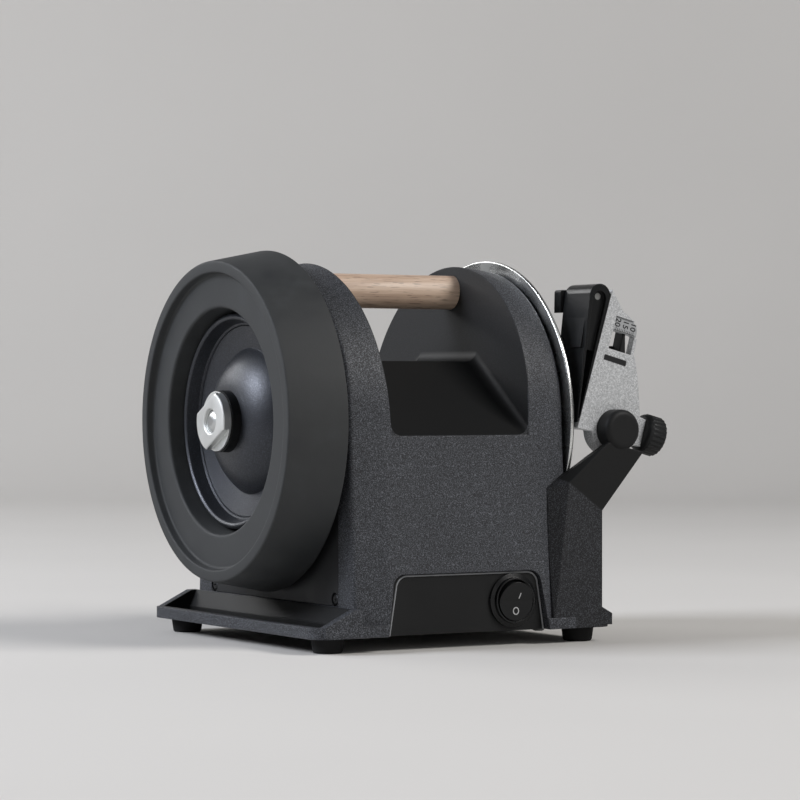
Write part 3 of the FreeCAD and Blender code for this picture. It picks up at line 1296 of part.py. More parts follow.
def make_knob():
    """The knurled lock knob and its stud, along the guide's own cross axis."""
    knob = guide_body("lock_knob")
    turn = new_sketch(knob, "YZ_Plane", depth="{knob_seat} + 0.4", across="-{knob_y}", up="{knob_v}")
    ring(turn, "0", "0", "{knob_radius}")
    ring(turn, "0", "0", "{stud_radius}")
    extrude(knob, turn, "{knob_length}")
    end = value("{knob_seat} + 0.4 + {knob_length}")
    round_edges(knob, "1", lambda edge: is_circle(edge, value("{knob_radius}"), end), kind="Chamfer")
    notch = new_sketch(knob, "YZ_Plane", depth="{knob_seat}", across="-{knob_y}", up="{knob_v}")
    outline(notch, [("0", "{knob_radius} - 0.55"), ("0.6", "{knob_radius} + 0.2"), ("-0.6", "{knob_radius} + 0.2")])
    groove = extrude(knob, notch, "{knob_length} + 1", cut=True, reverse=True)
    pattern = knob.newObject("PartDesign::PolarPattern", "lock_knob_ribs")
    pattern.Originals = [groove]
    pattern.Axis = (notch, ["N_Axis"])
    pattern.Angle = 360
    bind(pattern, "Occurrences", "{knob_ribs}")
    knob.Tip = pattern
    keep(knob, "lock_knob")
    stud = guide_body("lock_stud")
    rod = new_sketch(stud, "YZ_Plane", depth="{pin_radius} + 1.4", across="-{knob_y}", up="{knob_v}")
    ring(rod, "0", "0", "{stud_radius}")
    extrude(stud, rod, "{knob_seat} - {pin_radius} + {knob_length} - 2")
    keep(stud, "lock_stud")


def centre_model():
    """Shift every piece so that the origin is under the middle of the whole."""
    doc.recompute()
    box = FreeCAD.BoundBox()
    for item in nodes:
        box.add(item.Shape.optimalBoundingBox(False, False))
    names = list(SIZES)
    for alias, middle in (("model_middle_x", box.Center.x), ("model_middle_y", box.Center.y)):
        sheet.set("B%d" % (names.index(alias) + 1), "%.2f" % middle)
    print("middle of the machine frame", round(box.Center.x, 2), round(box.Center.y, 2))


def check_nodes():
    """Stop before anything is written if an object failed or a node's shape is unsound."""
    doc.recompute()
    for item in doc.Objects:
        if "Invalid" in item.State or "Error" in item.State:
            raise RuntimeError("%s failed to build: %s" % (item.Name, item.State))
    for item in nodes:
        if item.Shape.isNull() or not item.Shape.isValid() or not item.Shape.Solids:
            raise RuntimeError("%s has no sound shape" % item.Label)


def write_nodes():
    """Write one file for each node."""
    for item in nodes:
        item.Shape.exportStep("parts/%s.step" % item.Label)
        print("%-22s solids %d  volume %.0f" % (item.Label, len(item.Shape.Solids), item.Shape.Volume))


fill_sheet()
make_housing()
make_covers()
make_base()
make_handle()
make_switch()
make_gland()
make_shaft()
make_honing_wheel()
make_grinding_wheel()
make_gears()
make_motor()
make_guide_support()
make_guide()
make_guide_clamp()
make_knob()
centre_model()
check_nodes()
write_nodes()
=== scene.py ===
"""The bench knife sharpener's looks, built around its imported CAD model.
Metres, in the model's own frame: X along the shaft, the front at -Y, the feet on Z = 0."""

import math

import bmesh
import bpy
from mathutils import Matrix, Vector


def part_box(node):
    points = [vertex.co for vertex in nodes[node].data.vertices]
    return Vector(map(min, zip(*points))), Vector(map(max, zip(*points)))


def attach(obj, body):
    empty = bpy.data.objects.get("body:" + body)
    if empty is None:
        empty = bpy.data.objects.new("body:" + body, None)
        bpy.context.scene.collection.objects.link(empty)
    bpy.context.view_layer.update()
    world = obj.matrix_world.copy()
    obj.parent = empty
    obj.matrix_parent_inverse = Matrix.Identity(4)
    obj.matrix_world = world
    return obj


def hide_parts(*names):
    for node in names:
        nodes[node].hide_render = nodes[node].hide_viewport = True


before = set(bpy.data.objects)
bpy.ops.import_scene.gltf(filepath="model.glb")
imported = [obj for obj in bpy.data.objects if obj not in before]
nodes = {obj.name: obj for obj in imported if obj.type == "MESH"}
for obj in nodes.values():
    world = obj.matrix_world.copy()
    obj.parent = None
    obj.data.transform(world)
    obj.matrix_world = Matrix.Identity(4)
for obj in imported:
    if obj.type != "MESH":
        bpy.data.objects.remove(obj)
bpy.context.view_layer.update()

# The camera
# A long lens to the left of the machine's front, at about two thirds of its height
# and almost level.
MM = 0.001
SENSOR_MM = 36.0
FOCAL_PIXELS = 3015.0
FRAME_PIXELS = 800.0
VIEW_TURN = math.radians(-30.63)
VIEW_TILT = math.radians(90 - 0.22)
camera_data = bpy.data.cameras.new("camera")
camera_data.sensor_width = SENSOR_MM
camera_data.lens = FOCAL_PIXELS * SENSOR_MM / FRAME_PIXELS
camera_data.clip_end = 20
camera = bpy.data.objects.new("camera", camera_data)
camera.location = Vector((-690.9, -1169.05, 110.9)) * MM
camera.rotation_euler = (VIEW_TILT, 0, VIEW_TURN)
bpy.context.scene.collection.objects.link(camera)
bpy.context.scene.camera = camera

# Housing
# One aluminium die casting, powder coated in graphite grey. The coat has a fine
# texture with small bright flakes, and wears a little lighter along its edges. In the
# hollow between the arches and on the tray under the honing wheel it is drawn smooth and near-black:
# painted shade.


def linear(code):
    """An sRGB hex colour as linear red, green and blue, with a full alpha."""
    made = []
    for start in (0, 2, 4):
        part = int(code[start:start + 2], 16) / 255
        made.append(part / 12.92 if part <= 0.04045 else ((part + 0.055) / 1.055) ** 2.4)
    return (*made, 1.0)


def add_node(tree, kind, sockets=None, stops=None, **settings):
    """Add one node: sockets are set or linked, and stops are a ramp's places and colours."""
    made = tree.nodes.new("ShaderNode" + kind)
    for name, setting in settings.items():
        setattr(made, name, setting)
    for name, given in (sockets or {}).items():
        if isinstance(given, bpy.types.NodeSocket):
            tree.links.new(given, made.inputs[name])
        else:
            made.inputs[name].default_value = given
    if stops:
        ramp = made.color_ramp
        while len(ramp.elements) < len(stops):
            ramp.elements.new(0.5)
        for element, (where, colour) in zip(ramp.elements, stops):
            element.position = where
            grey = not isinstance(colour, str)
            element.color = (colour, colour, colour, 1) if grey else linear(colour)
    return made


def new_material(name, **shader_values):
    """A material whose shader starts from typical values for the stuff it is made of."""
    made = bpy.data.materials.new(name)
    made.use_nodes = True
    tree = made.node_tree
    shader = tree.nodes["Principled BSDF"]
    for socket, setting in shader_values.items():
        shader.inputs[socket.replace("_", " ")].default_value = setting
    where = add_node(tree, "TexCoord").outputs["Object"]
    return made, tree, shader, where


def dress(material, *names):
    """Give a material to whole CAD nodes."""
    for name in names:
        for slot in nodes[name].material_slots:
            slot.material = material


def edge_mask(tree, radius, gain):
    """How near a surface point is to a sharp edge, and the softened normal there."""
    soft = add_node(tree, "Bevel", {"Radius": radius}, samples=4)
    flat = add_node(tree, "NewGeometry")
    turn = add_node(tree, "VectorMath", {0: soft.outputs["Normal"], 1: flat.outputs["Normal"]},
                    operation="DOT_PRODUCT")
    away = add_node(tree, "Math", {0: 1.0, 1: turn.outputs["Value"]}, operation="SUBTRACT")
    mask = add_node(tree, "Math", {0: away.outputs[0], 1: gain},
                    operation="MULTIPLY", use_clamp=True)
    return mask.outputs[0], soft.outputs["Normal"]


# The real flakes are about 0.1 mm. They and the coat's texture are drawn coarser, so
# that they show.
FLAKE = 0.4 * MM
COAT_TEXTURE = 0.6 * MM
COAT_EDGE = 0.7 * MM
# Clouds in the coat, per metre: about 36 mm from one to the next.
COAT_CLOUDS = 28.0
# How softly the zones of painted shade blend in, and how rough the coat is there.
SHADE_ZONE_BLEND = 0.25 * MM
SHADE_ZONE_ROUGHNESS = 0.58


def coated_casting(name, dark, middle, light, worn, roughness, painted_shade_zones=()):
    """Powder coat on a casting, with flakes, a fine texture and lighter edges.

    The last argument lists zones, each a list of planes, (normal, distance). Inside them the
    coat is drawn as smooth, near-black satin: a smooth finish darkened with painted shade, for the
    shade that falls there."""
    made, tree, shader, where = new_material(name, Metallic=0.0, IOR=1.5,
                                             Specular_IOR_Level=0.3)
    flakes = add_node(tree, "TexNoise", {"Vector": where, "Scale": 1 / FLAKE,
                                         "Detail": 1.0, "Roughness": 0.5})
    patches = add_node(tree, "TexNoise", {"Vector": where, "Scale": COAT_CLOUDS, "Detail": 3.0})
    colour = add_node(tree, "ValToRGB", {"Fac": flakes.outputs["Fac"]},
                      stops=[(0.34, dark), (0.52, middle), (0.72, light)])
    shade = add_node(tree, "ValToRGB", {"Fac": patches.outputs["Fac"]},
                     stops=[(0.3, 0.88), (0.7, 1.0)])
    toned = add_node(tree, "Mix", {0: 1.0, 6: colour.outputs["Color"], 7: shade.outputs["Color"]},
                     data_type="RGBA", blend_type="MULTIPLY")
    mask, normal = edge_mask(tree, COAT_EDGE, 1.2)
    edged = add_node(tree, "Mix", {0: mask, 6: toned.outputs[2], 7: linear(worn)},
                     data_type="RGBA")
    rough = add_node(tree, "ValToRGB", {"Fac": flakes.outputs["Fac"]},
                     stops=[(0.4, roughness + 0.1), (0.66, roughness - 0.12)])
    texture = add_node(tree, "TexNoise", {"Vector": where, "Scale": 1 / COAT_TEXTURE,
                                          "Detail": 2.0})
    colour_end = edged.outputs[2]
    rough_end = rough.outputs["Color"]
    height_end = texture.outputs["Fac"]
    in_shade_zone = None
    for planes in painted_shade_zones:
        inside = 1.0
        for direction, distance in planes:
            reach = add_node(tree, "VectorMath", {0: where, 1: direction}, operation="DOT_PRODUCT")
            past = add_node(tree, "MapRange", {"Value": reach.outputs["Value"],
                                               "From Min": distance - SHADE_ZONE_BLEND,
                                               "From Max": distance + SHADE_ZONE_BLEND})
            past = add_node(tree, "Math", {0: inside, 1: past.outputs[0]}, operation="MULTIPLY")
            inside = past.outputs[0]
        if in_shade_zone:
            inside = add_node(tree, "Math", {0: inside, 1: in_shade_zone}, operation="MAXIMUM").outputs[0]
        in_shade_zone = inside
    # Inside the zones the coat turns smooth, near-black satin with lighter edges: painted shade.
    if in_shade_zone:
        shaded_satin = add_node(tree, "Mix", {0: mask, 6: linear("0a0b0c"), 7: linear("2a2c2e")},
                         data_type="RGBA")
        colour_end = add_node(tree, "Mix", {0: in_shade_zone, 6: colour_end, 7: shaded_satin.outputs[2]},
                              data_type="RGBA").outputs[2]
        rough_end = add_node(tree, "Mix", {0: in_shade_zone, 2: rough_end,
                                           3: SHADE_ZONE_ROUGHNESS}).outputs[0]
        height_end = add_node(tree, "Mix", {0: in_shade_zone, 2: height_end, 3: 0.5}).outputs[0]
    tree.links.new(colour_end, shader.inputs["Base Color"])
    tree.links.new(rough_end, shader.inputs["Roughness"])
    bump = add_node(tree, "Bump", {"Strength": 0.5, "Distance": 0.12 * MM, "Height": height_end,
                                   "Normal": normal})
    tree.links.new(bump.outputs["Normal"], shader.inputs["Normal"])
    return made


# Sizes of the casting in millimetres. Its front and rear faces lean in from the foot to
# the shaft's height, and the arches' inner walls lean out by 5.6 in 100.
FOOT_HALF_DEPTH, SHAFT_HALF_DEPTH = 78.0, 69.5
FOOT_HEIGHT, SHAFT_HEIGHT = 6.5, 96.6
GAP_FLOOR, GAP_CEILING = 75.0, 175.0
GAP_HALF_LOW, GAP_HALF_HIGH = 33.5, 38.6 + 0.5
SHADE_ZONE_FLOOR, FACE_MARGIN, WALL_MARGIN = 86.0, 0.4, 0.2
TRAY_LEFT, TRAY_RIGHT, TRAY_FRONT, TRAY_REAR = -82.5, -64.6, -74.5, 73.0
CENTRE_X, CENTRE_Y = -10.3 * MM, -0.95 * MM

# The zone of painted shade in the hollow between the arches: behind the leaning faces,
# above the zone's floor, and between the arches' inner walls.
FRONT_LEAN = math.atan2(FOOT_HALF_DEPTH - SHAFT_HALF_DEPTH, SHAFT_HEIGHT - FOOT_HEIGHT)
LEAN_REACH = (FOOT_HALF_DEPTH * math.cos(FRONT_LEAN) + FOOT_HEIGHT * math.sin(FRONT_LEAN)
              - FACE_MARGIN) * MM
SIDE_LEAN = math.atan2(GAP_HALF_HIGH - GAP_HALF_LOW, GAP_CEILING - GAP_FLOOR)
SIDE_REACH = (GAP_HALF_LOW * math.cos(SIDE_LEAN) - GAP_FLOOR * math.sin(SIDE_LEAN)
              + WALL_MARGIN) * MM
HOLLOW = [((0.0, 0.0, 1.0), SHADE_ZONE_FLOOR * MM)]
for side in (-1, 1):
    facing = (0.0, side * math.cos(FRONT_LEAN), -math.sin(FRONT_LEAN))
    HOLLOW.append((facing, side * CENTRE_Y * math.cos(FRONT_LEAN) - LEAN_REACH))
    wall = (-side * math.cos(SIDE_LEAN), 0.0, math.sin(SIDE_LEAN))
    HOLLOW.append((wall, -side * CENTRE_X * math.cos(SIDE_LEAN) - SIDE_REACH))
# The zone of painted shade on the tray's floor, under the honing wheel.
TRAY_FLOOR = [((-1.0, 0.0, 0.0), -TRAY_RIGHT * MM), ((1.0, 0.0, 0.0), TRAY_LEFT * MM),
              ((0.0, 1.0, 0.0), TRAY_FRONT * MM), ((0.0, -1.0, 0.0), -TRAY_REAR * MM)]
housing_coat = coated_casting("powder_coated_aluminium_graphite", "252629", "36383c",
                              "6b6e75", "4a4c51", 0.55, painted_shade_zones=[HOLLOW, TRAY_FLOOR])
dress(housing_coat, "housing")

# Side covers
# Black moulded ABS plates, let into both sides of the housing behind the wheels.
# The mould's spark-eroded grain makes them matte.
# Faint uneven tone, per metre: about 22 mm from one patch to the next.
TONE_PATCHES = 45.0
PLASTIC_EDGE = 0.4 * MM


def moulded_plastic(name, colour, light, roughness, grain=0.6 * MM, height=0.05 * MM):
    """A moulded plastic with a fine grain from its tool, and slightly lighter edges."""
    made, tree, shader, where = new_material(name, Metallic=0.0, IOR=1.53,
                                             Specular_IOR_Level=0.3)
    fine = add_node(tree, "TexNoise", {"Vector": where, "Scale": 1 / grain, "Detail": 2.0})
    broad = add_node(tree, "TexNoise", {"Vector": where, "Scale": TONE_PATCHES, "Detail": 2.0})
    mask, normal = edge_mask(tree, PLASTIC_EDGE, 1.5)
    lift = add_node(tree, "Math", {0: broad.outputs["Fac"], 1: 0.25}, operation="MULTIPLY")
    both = add_node(tree, "Math", {0: lift.outputs[0], 1: mask},
                    operation="ADD", use_clamp=True)
    tint = add_node(tree, "Mix", {0: both.outputs[0], 6: linear(colour), 7: linear(light)},
                    data_type="RGBA")
    tree.links.new(tint.outputs[2], shader.inputs["Base Color"])
    rough = add_node(tree, "ValToRGB", {"Fac": broad.outputs["Fac"]},
                     stops=[(0.3, roughness - 0.05), (0.7, roughness + 0.07)])
    tree.links.new(rough.outputs["Color"], shader.inputs["Roughness"])
    bump = add_node(tree, "Bump", {"Strength": 0.4, "Distance": height,
                                   "Height": fine.outputs["Fac"], "Normal": normal})
    tree.links.new(bump.outputs["Normal"], shader.inputs["Normal"])
    return made


grained_abs = moulded_plastic("moulded_abs_black_grained", "1c1d1f", "2c2d2f", 0.55)
dress(grained_abs, "left_cover", "right_cover")

# Screws
# Cross-head screws, cold headed from steel wire: black ones in the covers, and
# zinc-plated ones in the base plate, the feet, the handle and the guide's support.


# Clouds on a bare metal, per metre: about 17 mm apart. Its grain is drawn at 0.8 mm,
# coarser than the real one, so that it shows.
METAL_CLOUDS = 60.0
METAL_GRAIN = 0.8 * MM
METAL_EDGE = 0.3 * MM
TOOL_MARK = 0.01 * MM


def wave_scale(pitch):
    """The scale at which a wave texture's lines lie a set distance apart."""
    return 1 / pitch / 20 * 2 * math.pi


def metal(name, dark, light, roughness, line=None, centre=(0, 0, 0)):
    """A bare metal: faint cloudiness, and lines round X a set distance apart where turned."""
    made, tree, shader, where = new_material(name, Metallic=1.0)
    broad = add_node(tree, "TexNoise", {"Vector": where, "Scale": METAL_CLOUDS, "Detail": 4.0})
    mask, normal = edge_mask(tree, METAL_EDGE, 1.2)
    cloud = add_node(tree, "Mix", {0: broad.outputs["Fac"], 6: linear(dark), 7: linear(light)},
                     data_type="RGBA")
    bright = add_node(tree, "Mix", {0: mask, 6: cloud.outputs[2], 7: linear(light)},
                      data_type="RGBA")
    tree.links.new(bright.outputs[2], shader.inputs["Base Color"])
    rough = add_node(tree, "ValToRGB", {"Fac": broad.outputs["Fac"]},
                     stops=[(0.3, roughness), (0.7, roughness + 0.12)])
    tree.links.new(rough.outputs["Color"], shader.inputs["Roughness"])
    if line:
        moved = add_node(tree, "Mapping", {"Vector": where, "Location": tuple(-c for c in centre)})
        height_source = add_node(tree, "TexWave", {
            "Vector": moved.outputs["Vector"], "Scale": wave_scale(line),
            "Distortion": 1.0, "Detail": 2.0, "Detail Scale": 2.0,
        }, wave_type="RINGS", rings_direction="X")
    else:
        height_source = add_node(tree, "TexNoise", {"Vector": where, "Scale": 1 / METAL_GRAIN,
                                                    "Detail": 3.0})
    bump = add_node(tree, "Bump", {"Strength": 0.35, "Distance": TOOL_MARK,
                                   "Height": height_source.outputs["Fac"], "Normal": normal})
    tree.links.new(bump.outputs["Normal"], shader.inputs["Normal"])
    return made


def new_piece(name, mesh, material, body, smooth=True):
    """Put a mesh into the scene as a piece that moves with a body."""
    made = bpy.data.objects.new(name, mesh)
    bpy.context.scene.collection.objects.link(made)
    made.data.materials.append(material)
    if smooth:
        mesh.shade_smooth()
        mesh.set_sharp_from_angle(angle=math.radians(35))
    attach(made, body)
    return made


def mesh_from(shape, name):
    """Finish a bmesh as a named mesh."""
    made = bpy.data.meshes.new(name)
    shape.to_mesh(made)
    shape.free()
    return made


def baked(thing):
    """A mesh of an object as it stands, with its modifiers or its curve worked out."""
    bpy.context.view_layer.update()
    graph = bpy.context.evaluated_depsgraph_get()
    return bpy.data.meshes.new_from_object(thing.evaluated_get(graph))


def join_loops(shape, low, high):
    """Join two closed loops of as many points by a band of quads."""
    for step in range(len(low)):
        following = (step + 1) % len(low)
        shape.faces.new((low[step], low[following], high[following], high[step]))


def lathe(shape, profile, turns):
    """Turn a profile of (along, radius) about the local Z axis into a skin."""
    rings = []
    for along, radius in profile:
        if radius < 1e-7:
            rings.append([shape.verts.new((0, 0, along))])
            continue
        ring = []
        for step in range(turns):
            angle = 2 * math.pi * step / turns
            ring.append(shape.verts.new((radius * math.cos(angle), radius * math.sin(angle), along)))
        rings.append(ring)
    for low, high in zip(rings, rings[1:]):
        for step in range(turns):
            following = (step + 1) % turns
            corners = [low[step % len(low)], low[following % len(low)],
                       high[following % len(high)], high[step % len(high)]]
            unique = list(dict.fromkeys(corners))
            if len(unique) > 2:
                shape.faces.new(unique)


# The driver's cross: its arms' half width, and its size at the point, as shares.
CROSS_WIDTH = 0.26
CROSS_POINT = 0.45


def cross_cutter(arm, depth):
    """The driver's cross-shaped point, which presses the recess into a head."""
    shape = bmesh.new()
    width = arm * CROSS_WIDTH
    points = [(-width, -arm), (width, -arm), (width, -width), (arm, -width),
              (arm, width), (width, width), (width, arm), (-width, arm),
              (-width, width), (-arm, width), (-arm, -width), (-width, -width)]
    low = [shape.verts.new((x * CROSS_POINT, y * CROSS_POINT, -depth)) for x, y in points]
    high = [shape.verts.new((x, y, depth)) for x, y in points]
    shape.faces.new(list(reversed(low)))
    shape.faces.new(high)
    join_loops(shape, low, high)
    return mesh_from(shape, "cross_cutter")


def island_boxes(name):
    """The box of each separate solid of a CAD node, as lowest and highest corners."""
    source = bmesh.new()
    source.from_mesh(nodes[name].data)
    bmesh.ops.remove_doubles(source, verts=source.verts, dist=1e-6)
    boxes = []
    left = set(source.verts)
    while left:
        reached = [left.pop()]
        for vert in reached:
            for edge in vert.link_edges:
                other = edge.other_vert(vert)
                if other in left:
                    left.remove(other)
                    reached.append(other)
        spots = [vert.co for vert in reached]
        low = Vector([min(spot[axis] for spot in spots) for axis in range(3)])
        high = Vector([max(spot[axis] for spot in spots) for axis in range(3)])
        boxes.append((low, high))
    source.free()
    return sorted(boxes, key=lambda box: tuple(round(c, 5) for c in box[0]))


# A pan head from its crown to its seat: shares of the head's height and radius.
PAN_HEAD = [(1.0, 0.0), (1.0, 0.62), (0.9, 0.8), (0.62, 0.95), (0.25, 1.0), (0.0, 1.0)]
SCREW_TURNS = 24
THREAD_PITCH = 0.8 * MM
THREAD_ROOT = 0.82
PLAIN_NECK = 0.6 * MM
RECESS_SHARE = 0.55


def screw_group(name, into, head_radius, head_height, shank_radius, finish):
    """Replace a node of plain screws by pan heads with a cross and a threaded shank."""
    direction = Vector(into)
    axis = max(range(3), key=lambda index: abs(direction[index]))
    turn = Vector((0, 0, -1)).rotation_difference(direction).to_matrix().to_4x4()
    whole = bmesh.new()
    for low, high in island_boxes(name):
        middle = (low + high) / 2
        length = high[axis] - low[axis]
        seat = middle.copy()
        outer = low[axis] if direction[axis] > 0 else high[axis]
        seat[axis] = outer + head_height * direction[axis]
        shape = bmesh.new()
        profile = [(head_height * rise, head_radius * out) for rise, out in PAN_HEAD]
        profile.append((0.0, shank_radius))
        along = -PLAIN_NECK
        bottom = -(length - head_height)
        while along > bottom + 1.6 * THREAD_PITCH:
            profile += [(along, shank_radius),
                        (along - THREAD_PITCH / 2, shank_radius * THREAD_ROOT)]
            along -= THREAD_PITCH
        profile += [(bottom + THREAD_PITCH * 0.6, shank_radius * 0.8),
                    (bottom, shank_radius * 0.45), (bottom, 0.0)]
        lathe(shape, profile, SCREW_TURNS)
        blank = bpy.data.objects.new("blank", mesh_from(shape, "blank"))
        cutter = bpy.data.objects.new("cutter", cross_cutter(head_radius * RECESS_SHARE,
                                                             head_height * RECESS_SHARE))
        cutter.location.z = head_height
        for helper in (blank, cutter):
            bpy.context.scene.collection.objects.link(helper)
        pressed = blank.modifiers.new("recess", "BOOLEAN")
        pressed.object = cutter
        pressed.solver = "EXACT"
        result = baked(blank)
        result.transform(Matrix.Translation(seat) @ turn)
        whole.from_mesh(result)
        for helper in (blank, cutter):
            bpy.data.objects.remove(helper)
    made = new_piece(name + "_detail", mesh_from(whole, name + "_detail"), finish, "frame")
    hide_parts(name)


# Zinc plate is a dull, faintly cloudy grey, and black oxide near-black with a soft sheen.
zinc_plate = metal("zinc_plated_steel", "8f9192", "b4b6b7", 0.32)
black_oxide = metal("black_oxide_steel", "2a2b2c", "48494b", 0.38)
screw_group("left_cover_screws", (1, 0, 0), 2.6 * MM, 1.4 * MM, 1.4 * MM, black_oxide)
screw_group("right_cover_screws", (-1, 0, 0), 2.6 * MM, 1.4 * MM, 1.4 * MM, black_oxide)
screw_group("base_screws", (0, 0, 1), 2.8 * MM, 1.6 * MM, 1.5 * MM, zinc_plate)
screw_group("foot_screws", (0, 0, 1), 3.6 * MM, 1.6 * MM, 2.0 * MM, zinc_plate)
screw_group("support_screws", (-1, 0, 0), 2.8 * MM, 1.6 * MM, 1.5 * MM, zinc_plate)
dress(zinc_plate, "handle_screws")

# Base plate
# Galvanised sheet steel, blanked and dropped into the underside of the casting.
# Its zinc has the pale, cloudy spangle of hot dipping.
galvanised = metal("galvanised_sheet_steel", "7b7e80", "a3a6a8", 0.38)
dress(galvanised, "base_plate")

# Feet
# Four moulded natural-rubber feet, each held by the screw in its middle.
# Rubber is nearly black and has hardly any gloss.
rubber = moulded_plastic("moulded_rubber_black", "101011", "1d1d1e", 0.82,
                         grain=0.9 * MM, height=0.08 * MM)
dress(rubber, "foot_front_left", "foot_front_right", "foot_rear_left", "foot_rear_right")

# Handle
# A turned oak rod between the arches, oiled. The grain runs along the rod, with
# darker latewood lines and short open pores.


# Growth lines and pores, per metre along the rod and across it. The pores, about 6 mm
# long and 0.7 mm wide, are drawn coarser than real ones.
GROWTH_SCALE = (14.0, 420.0, 420.0)
PORE_SCALE = (160.0, 1500.0, 1500.0)
GRAIN_TURN = math.radians(1.2)


def oak_wood():
    """Oiled oak: long grain, growth lines and pores, all along X."""
    made, tree, shader, where = new_material("oiled_oak", Metallic=0.0, IOR=1.5)
    grain_space = add_node(tree, "Mapping", {"Vector": where, "Scale": GROWTH_SCALE,
                                             "Rotation": (0, 0, GRAIN_TURN)})
    growth = add_node(tree, "TexNoise", {"Vector": grain_space.outputs["Vector"], "Scale": 1.0,
                                         "Detail": 4.0, "Roughness": 0.6, "Distortion": 0.6})
    pore_space = add_node(tree, "Mapping", {"Vector": where, "Scale": PORE_SCALE})
    pores = add_node(tree, "TexNoise", {"Vector": pore_space.outputs["Vector"], "Scale": 1.0,
                                        "Detail": 1.0})
    tone = add_node(tree, "ValToRGB", {"Fac": growth.outputs["Fac"]},
                    stops=[(0.28, "9c8371"), (0.46, "bfa590"), (0.6, "d2bba7"), (0.75, "b79b86")])
    open_pores = add_node(tree, "ValToRGB", {"Fac": pores.outputs["Fac"]},
                          stops=[(0.3, 0.62), (0.42, 1.0)])
    wood = add_node(tree, "Mix", {0: 1.0, 6: tone.outputs["Color"], 7: open_pores.outputs["Color"]},
                    data_type="RGBA", blend_type="MULTIPLY")
    tree.links.new(wood.outputs[2], shader.inputs["Base Color"])
    rough = add_node(tree, "ValToRGB", {"Fac": growth.outputs["Fac"]},
                     stops=[(0.3, 0.55), (0.7, 0.42)])
    tree.links.new(rough.outputs["Color"], shader.inputs["Roughness"])
    bump = add_node(tree, "Bump", {"Strength": 0.4, "Distance": 0.08 * MM,
                                   "Height": pores.outputs["Fac"]})
    tree.links.new(bump.outputs["Normal"], shader.inputs["Normal"])
    return made


dress(oak_wood(), "handle")

# Switch panel
# A satin black moulded panel in the front opening. A bead runs along its top and sides,
# coloured pale grey: a painted highlight, for the fine line of light along the panel's edge.
satin_abs = moulded_plastic("moulded_abs_black_satin", "0b0c0d", "18191a", 0.45)
dress(satin_abs, "switch_panel")


def front_rim(name):
    """The outer loop of a plate's front face, in order round it."""
    source = bmesh.new()
    source.from_mesh(nodes[name].data)
    bmesh.ops.remove_doubles(source, verts=source.verts, dist=1e-6)
    front = min(vert.co.y for vert in source.verts)
    faces = {face for face in source.faces if all(abs(vert.co.y - front) < 1e-5 for vert in face.verts)}
    rim = [edge for edge in source.edges if sum(face in faces for face in edge.link_faces) == 1]
    joined = {}
    for edge in rim:
        for vert in edge.verts:
            joined.setdefault(vert, []).append(edge.other_vert(vert))
    start = min(joined, key=lambda vert: vert.co.x)
    loop = [start, joined[start][0]]
    while True:
        following = [vert for vert in joined[loop[-1]] if vert is not loop[-2]][0]
        if following is start:
            break
        loop.append(following)
    spots = [vert.co.copy() for vert in loop]
    source.free()
    return spots


# The bead is half sunk in the panel, and stops at its foot.
BEAD_RADIUS = 0.4 * MM
RIM_INSET, LEFT_INSET = 0.45 * MM, 2.3 * MM
FOOT_BAND, LEG_TOP = 0.05 * MM, 20 * MM
rim_spots = front_rim("switch_panel")
foot = min(spot.z for spot in rim_spots)
middle_x = (min(spot.x for spot in rim_spots) + max(spot.x for spot in rim_spots)) / 2
lowest = [index for index, spot in enumerate(rim_spots) if spot.z < foot + FOOT_BAND]
corner = max(lowest, key=lambda index: rim_spots[index].x)
other = min(lowest, key=lambda index: rim_spots[index].x)
ordered = rim_spots[corner:] + rim_spots[:corner]
if (other - corner) % len(rim_spots) == 1:
    ordered = [ordered[0]] + ordered[:0:-1]
bead_curve = bpy.data.curves.new("panel_bead", "CURVE")
bead_curve.dimensions = "3D"
bead_curve.bevel_depth = BEAD_RADIUS
bead_curve.bevel_resolution = 3
bead_curve.use_fill_caps = True
bead_line = bead_curve.splines.new("POLY")
bead_line.points.add(len(ordered) - 1)
for point, spot in zip(bead_line.points, ordered):
    across = middle_x - spot.x
    inward = Vector((min(across, LEFT_INSET) if across > 0 else max(across, -RIM_INSET), 0,
                     -RIM_INSET if spot.z > foot + LEG_TOP else 0.0))
    point.co = (*(spot + inward), 1)
bead_object = bpy.data.objects.new("bead", bead_curve)
bpy.context.scene.collection.objects.link(bead_object)
bead_mesh = baked(bead_object)
bpy.data.objects.remove(bead_object)
bead_mesh.materials.clear()
bead_mesh.name = "panel_bead"
# The bead's pale grey is a painted highlight.
bead_highlight_abs = moulded_plastic("moulded_abs_bead_painted_highlight", "85878a", "a3a5a7", 0.3)
new_piece("panel_bead", bead_mesh, bead_highlight_abs, "frame")

# Switch
# A round snap-in rocker switch of glossy black nylon, with a flange, a raised ring
# and the usual marks printed in white: a bar for on above, a circle for off below.
switch_nylon = moulded_plastic("moulded_nylon_black_glossy", "0d0e0f", "1c1d1f", 0.24,
                               height=0.02 * MM)
dress(switch_nylon, "switch_body", "switch_rocker")
# The terminals' tin plate is a warm, pale grey.
dress(metal("tin_plated_brass", "a8a49a", "c9c6bc", 0.3), "switch_terminals")
SWITCH_SPOT = (13.3, 19.6)
MARK_TURN = math.radians(-16)
INK_HEIGHT = 0.06 * MM
IN_FRONT = -200 * MM


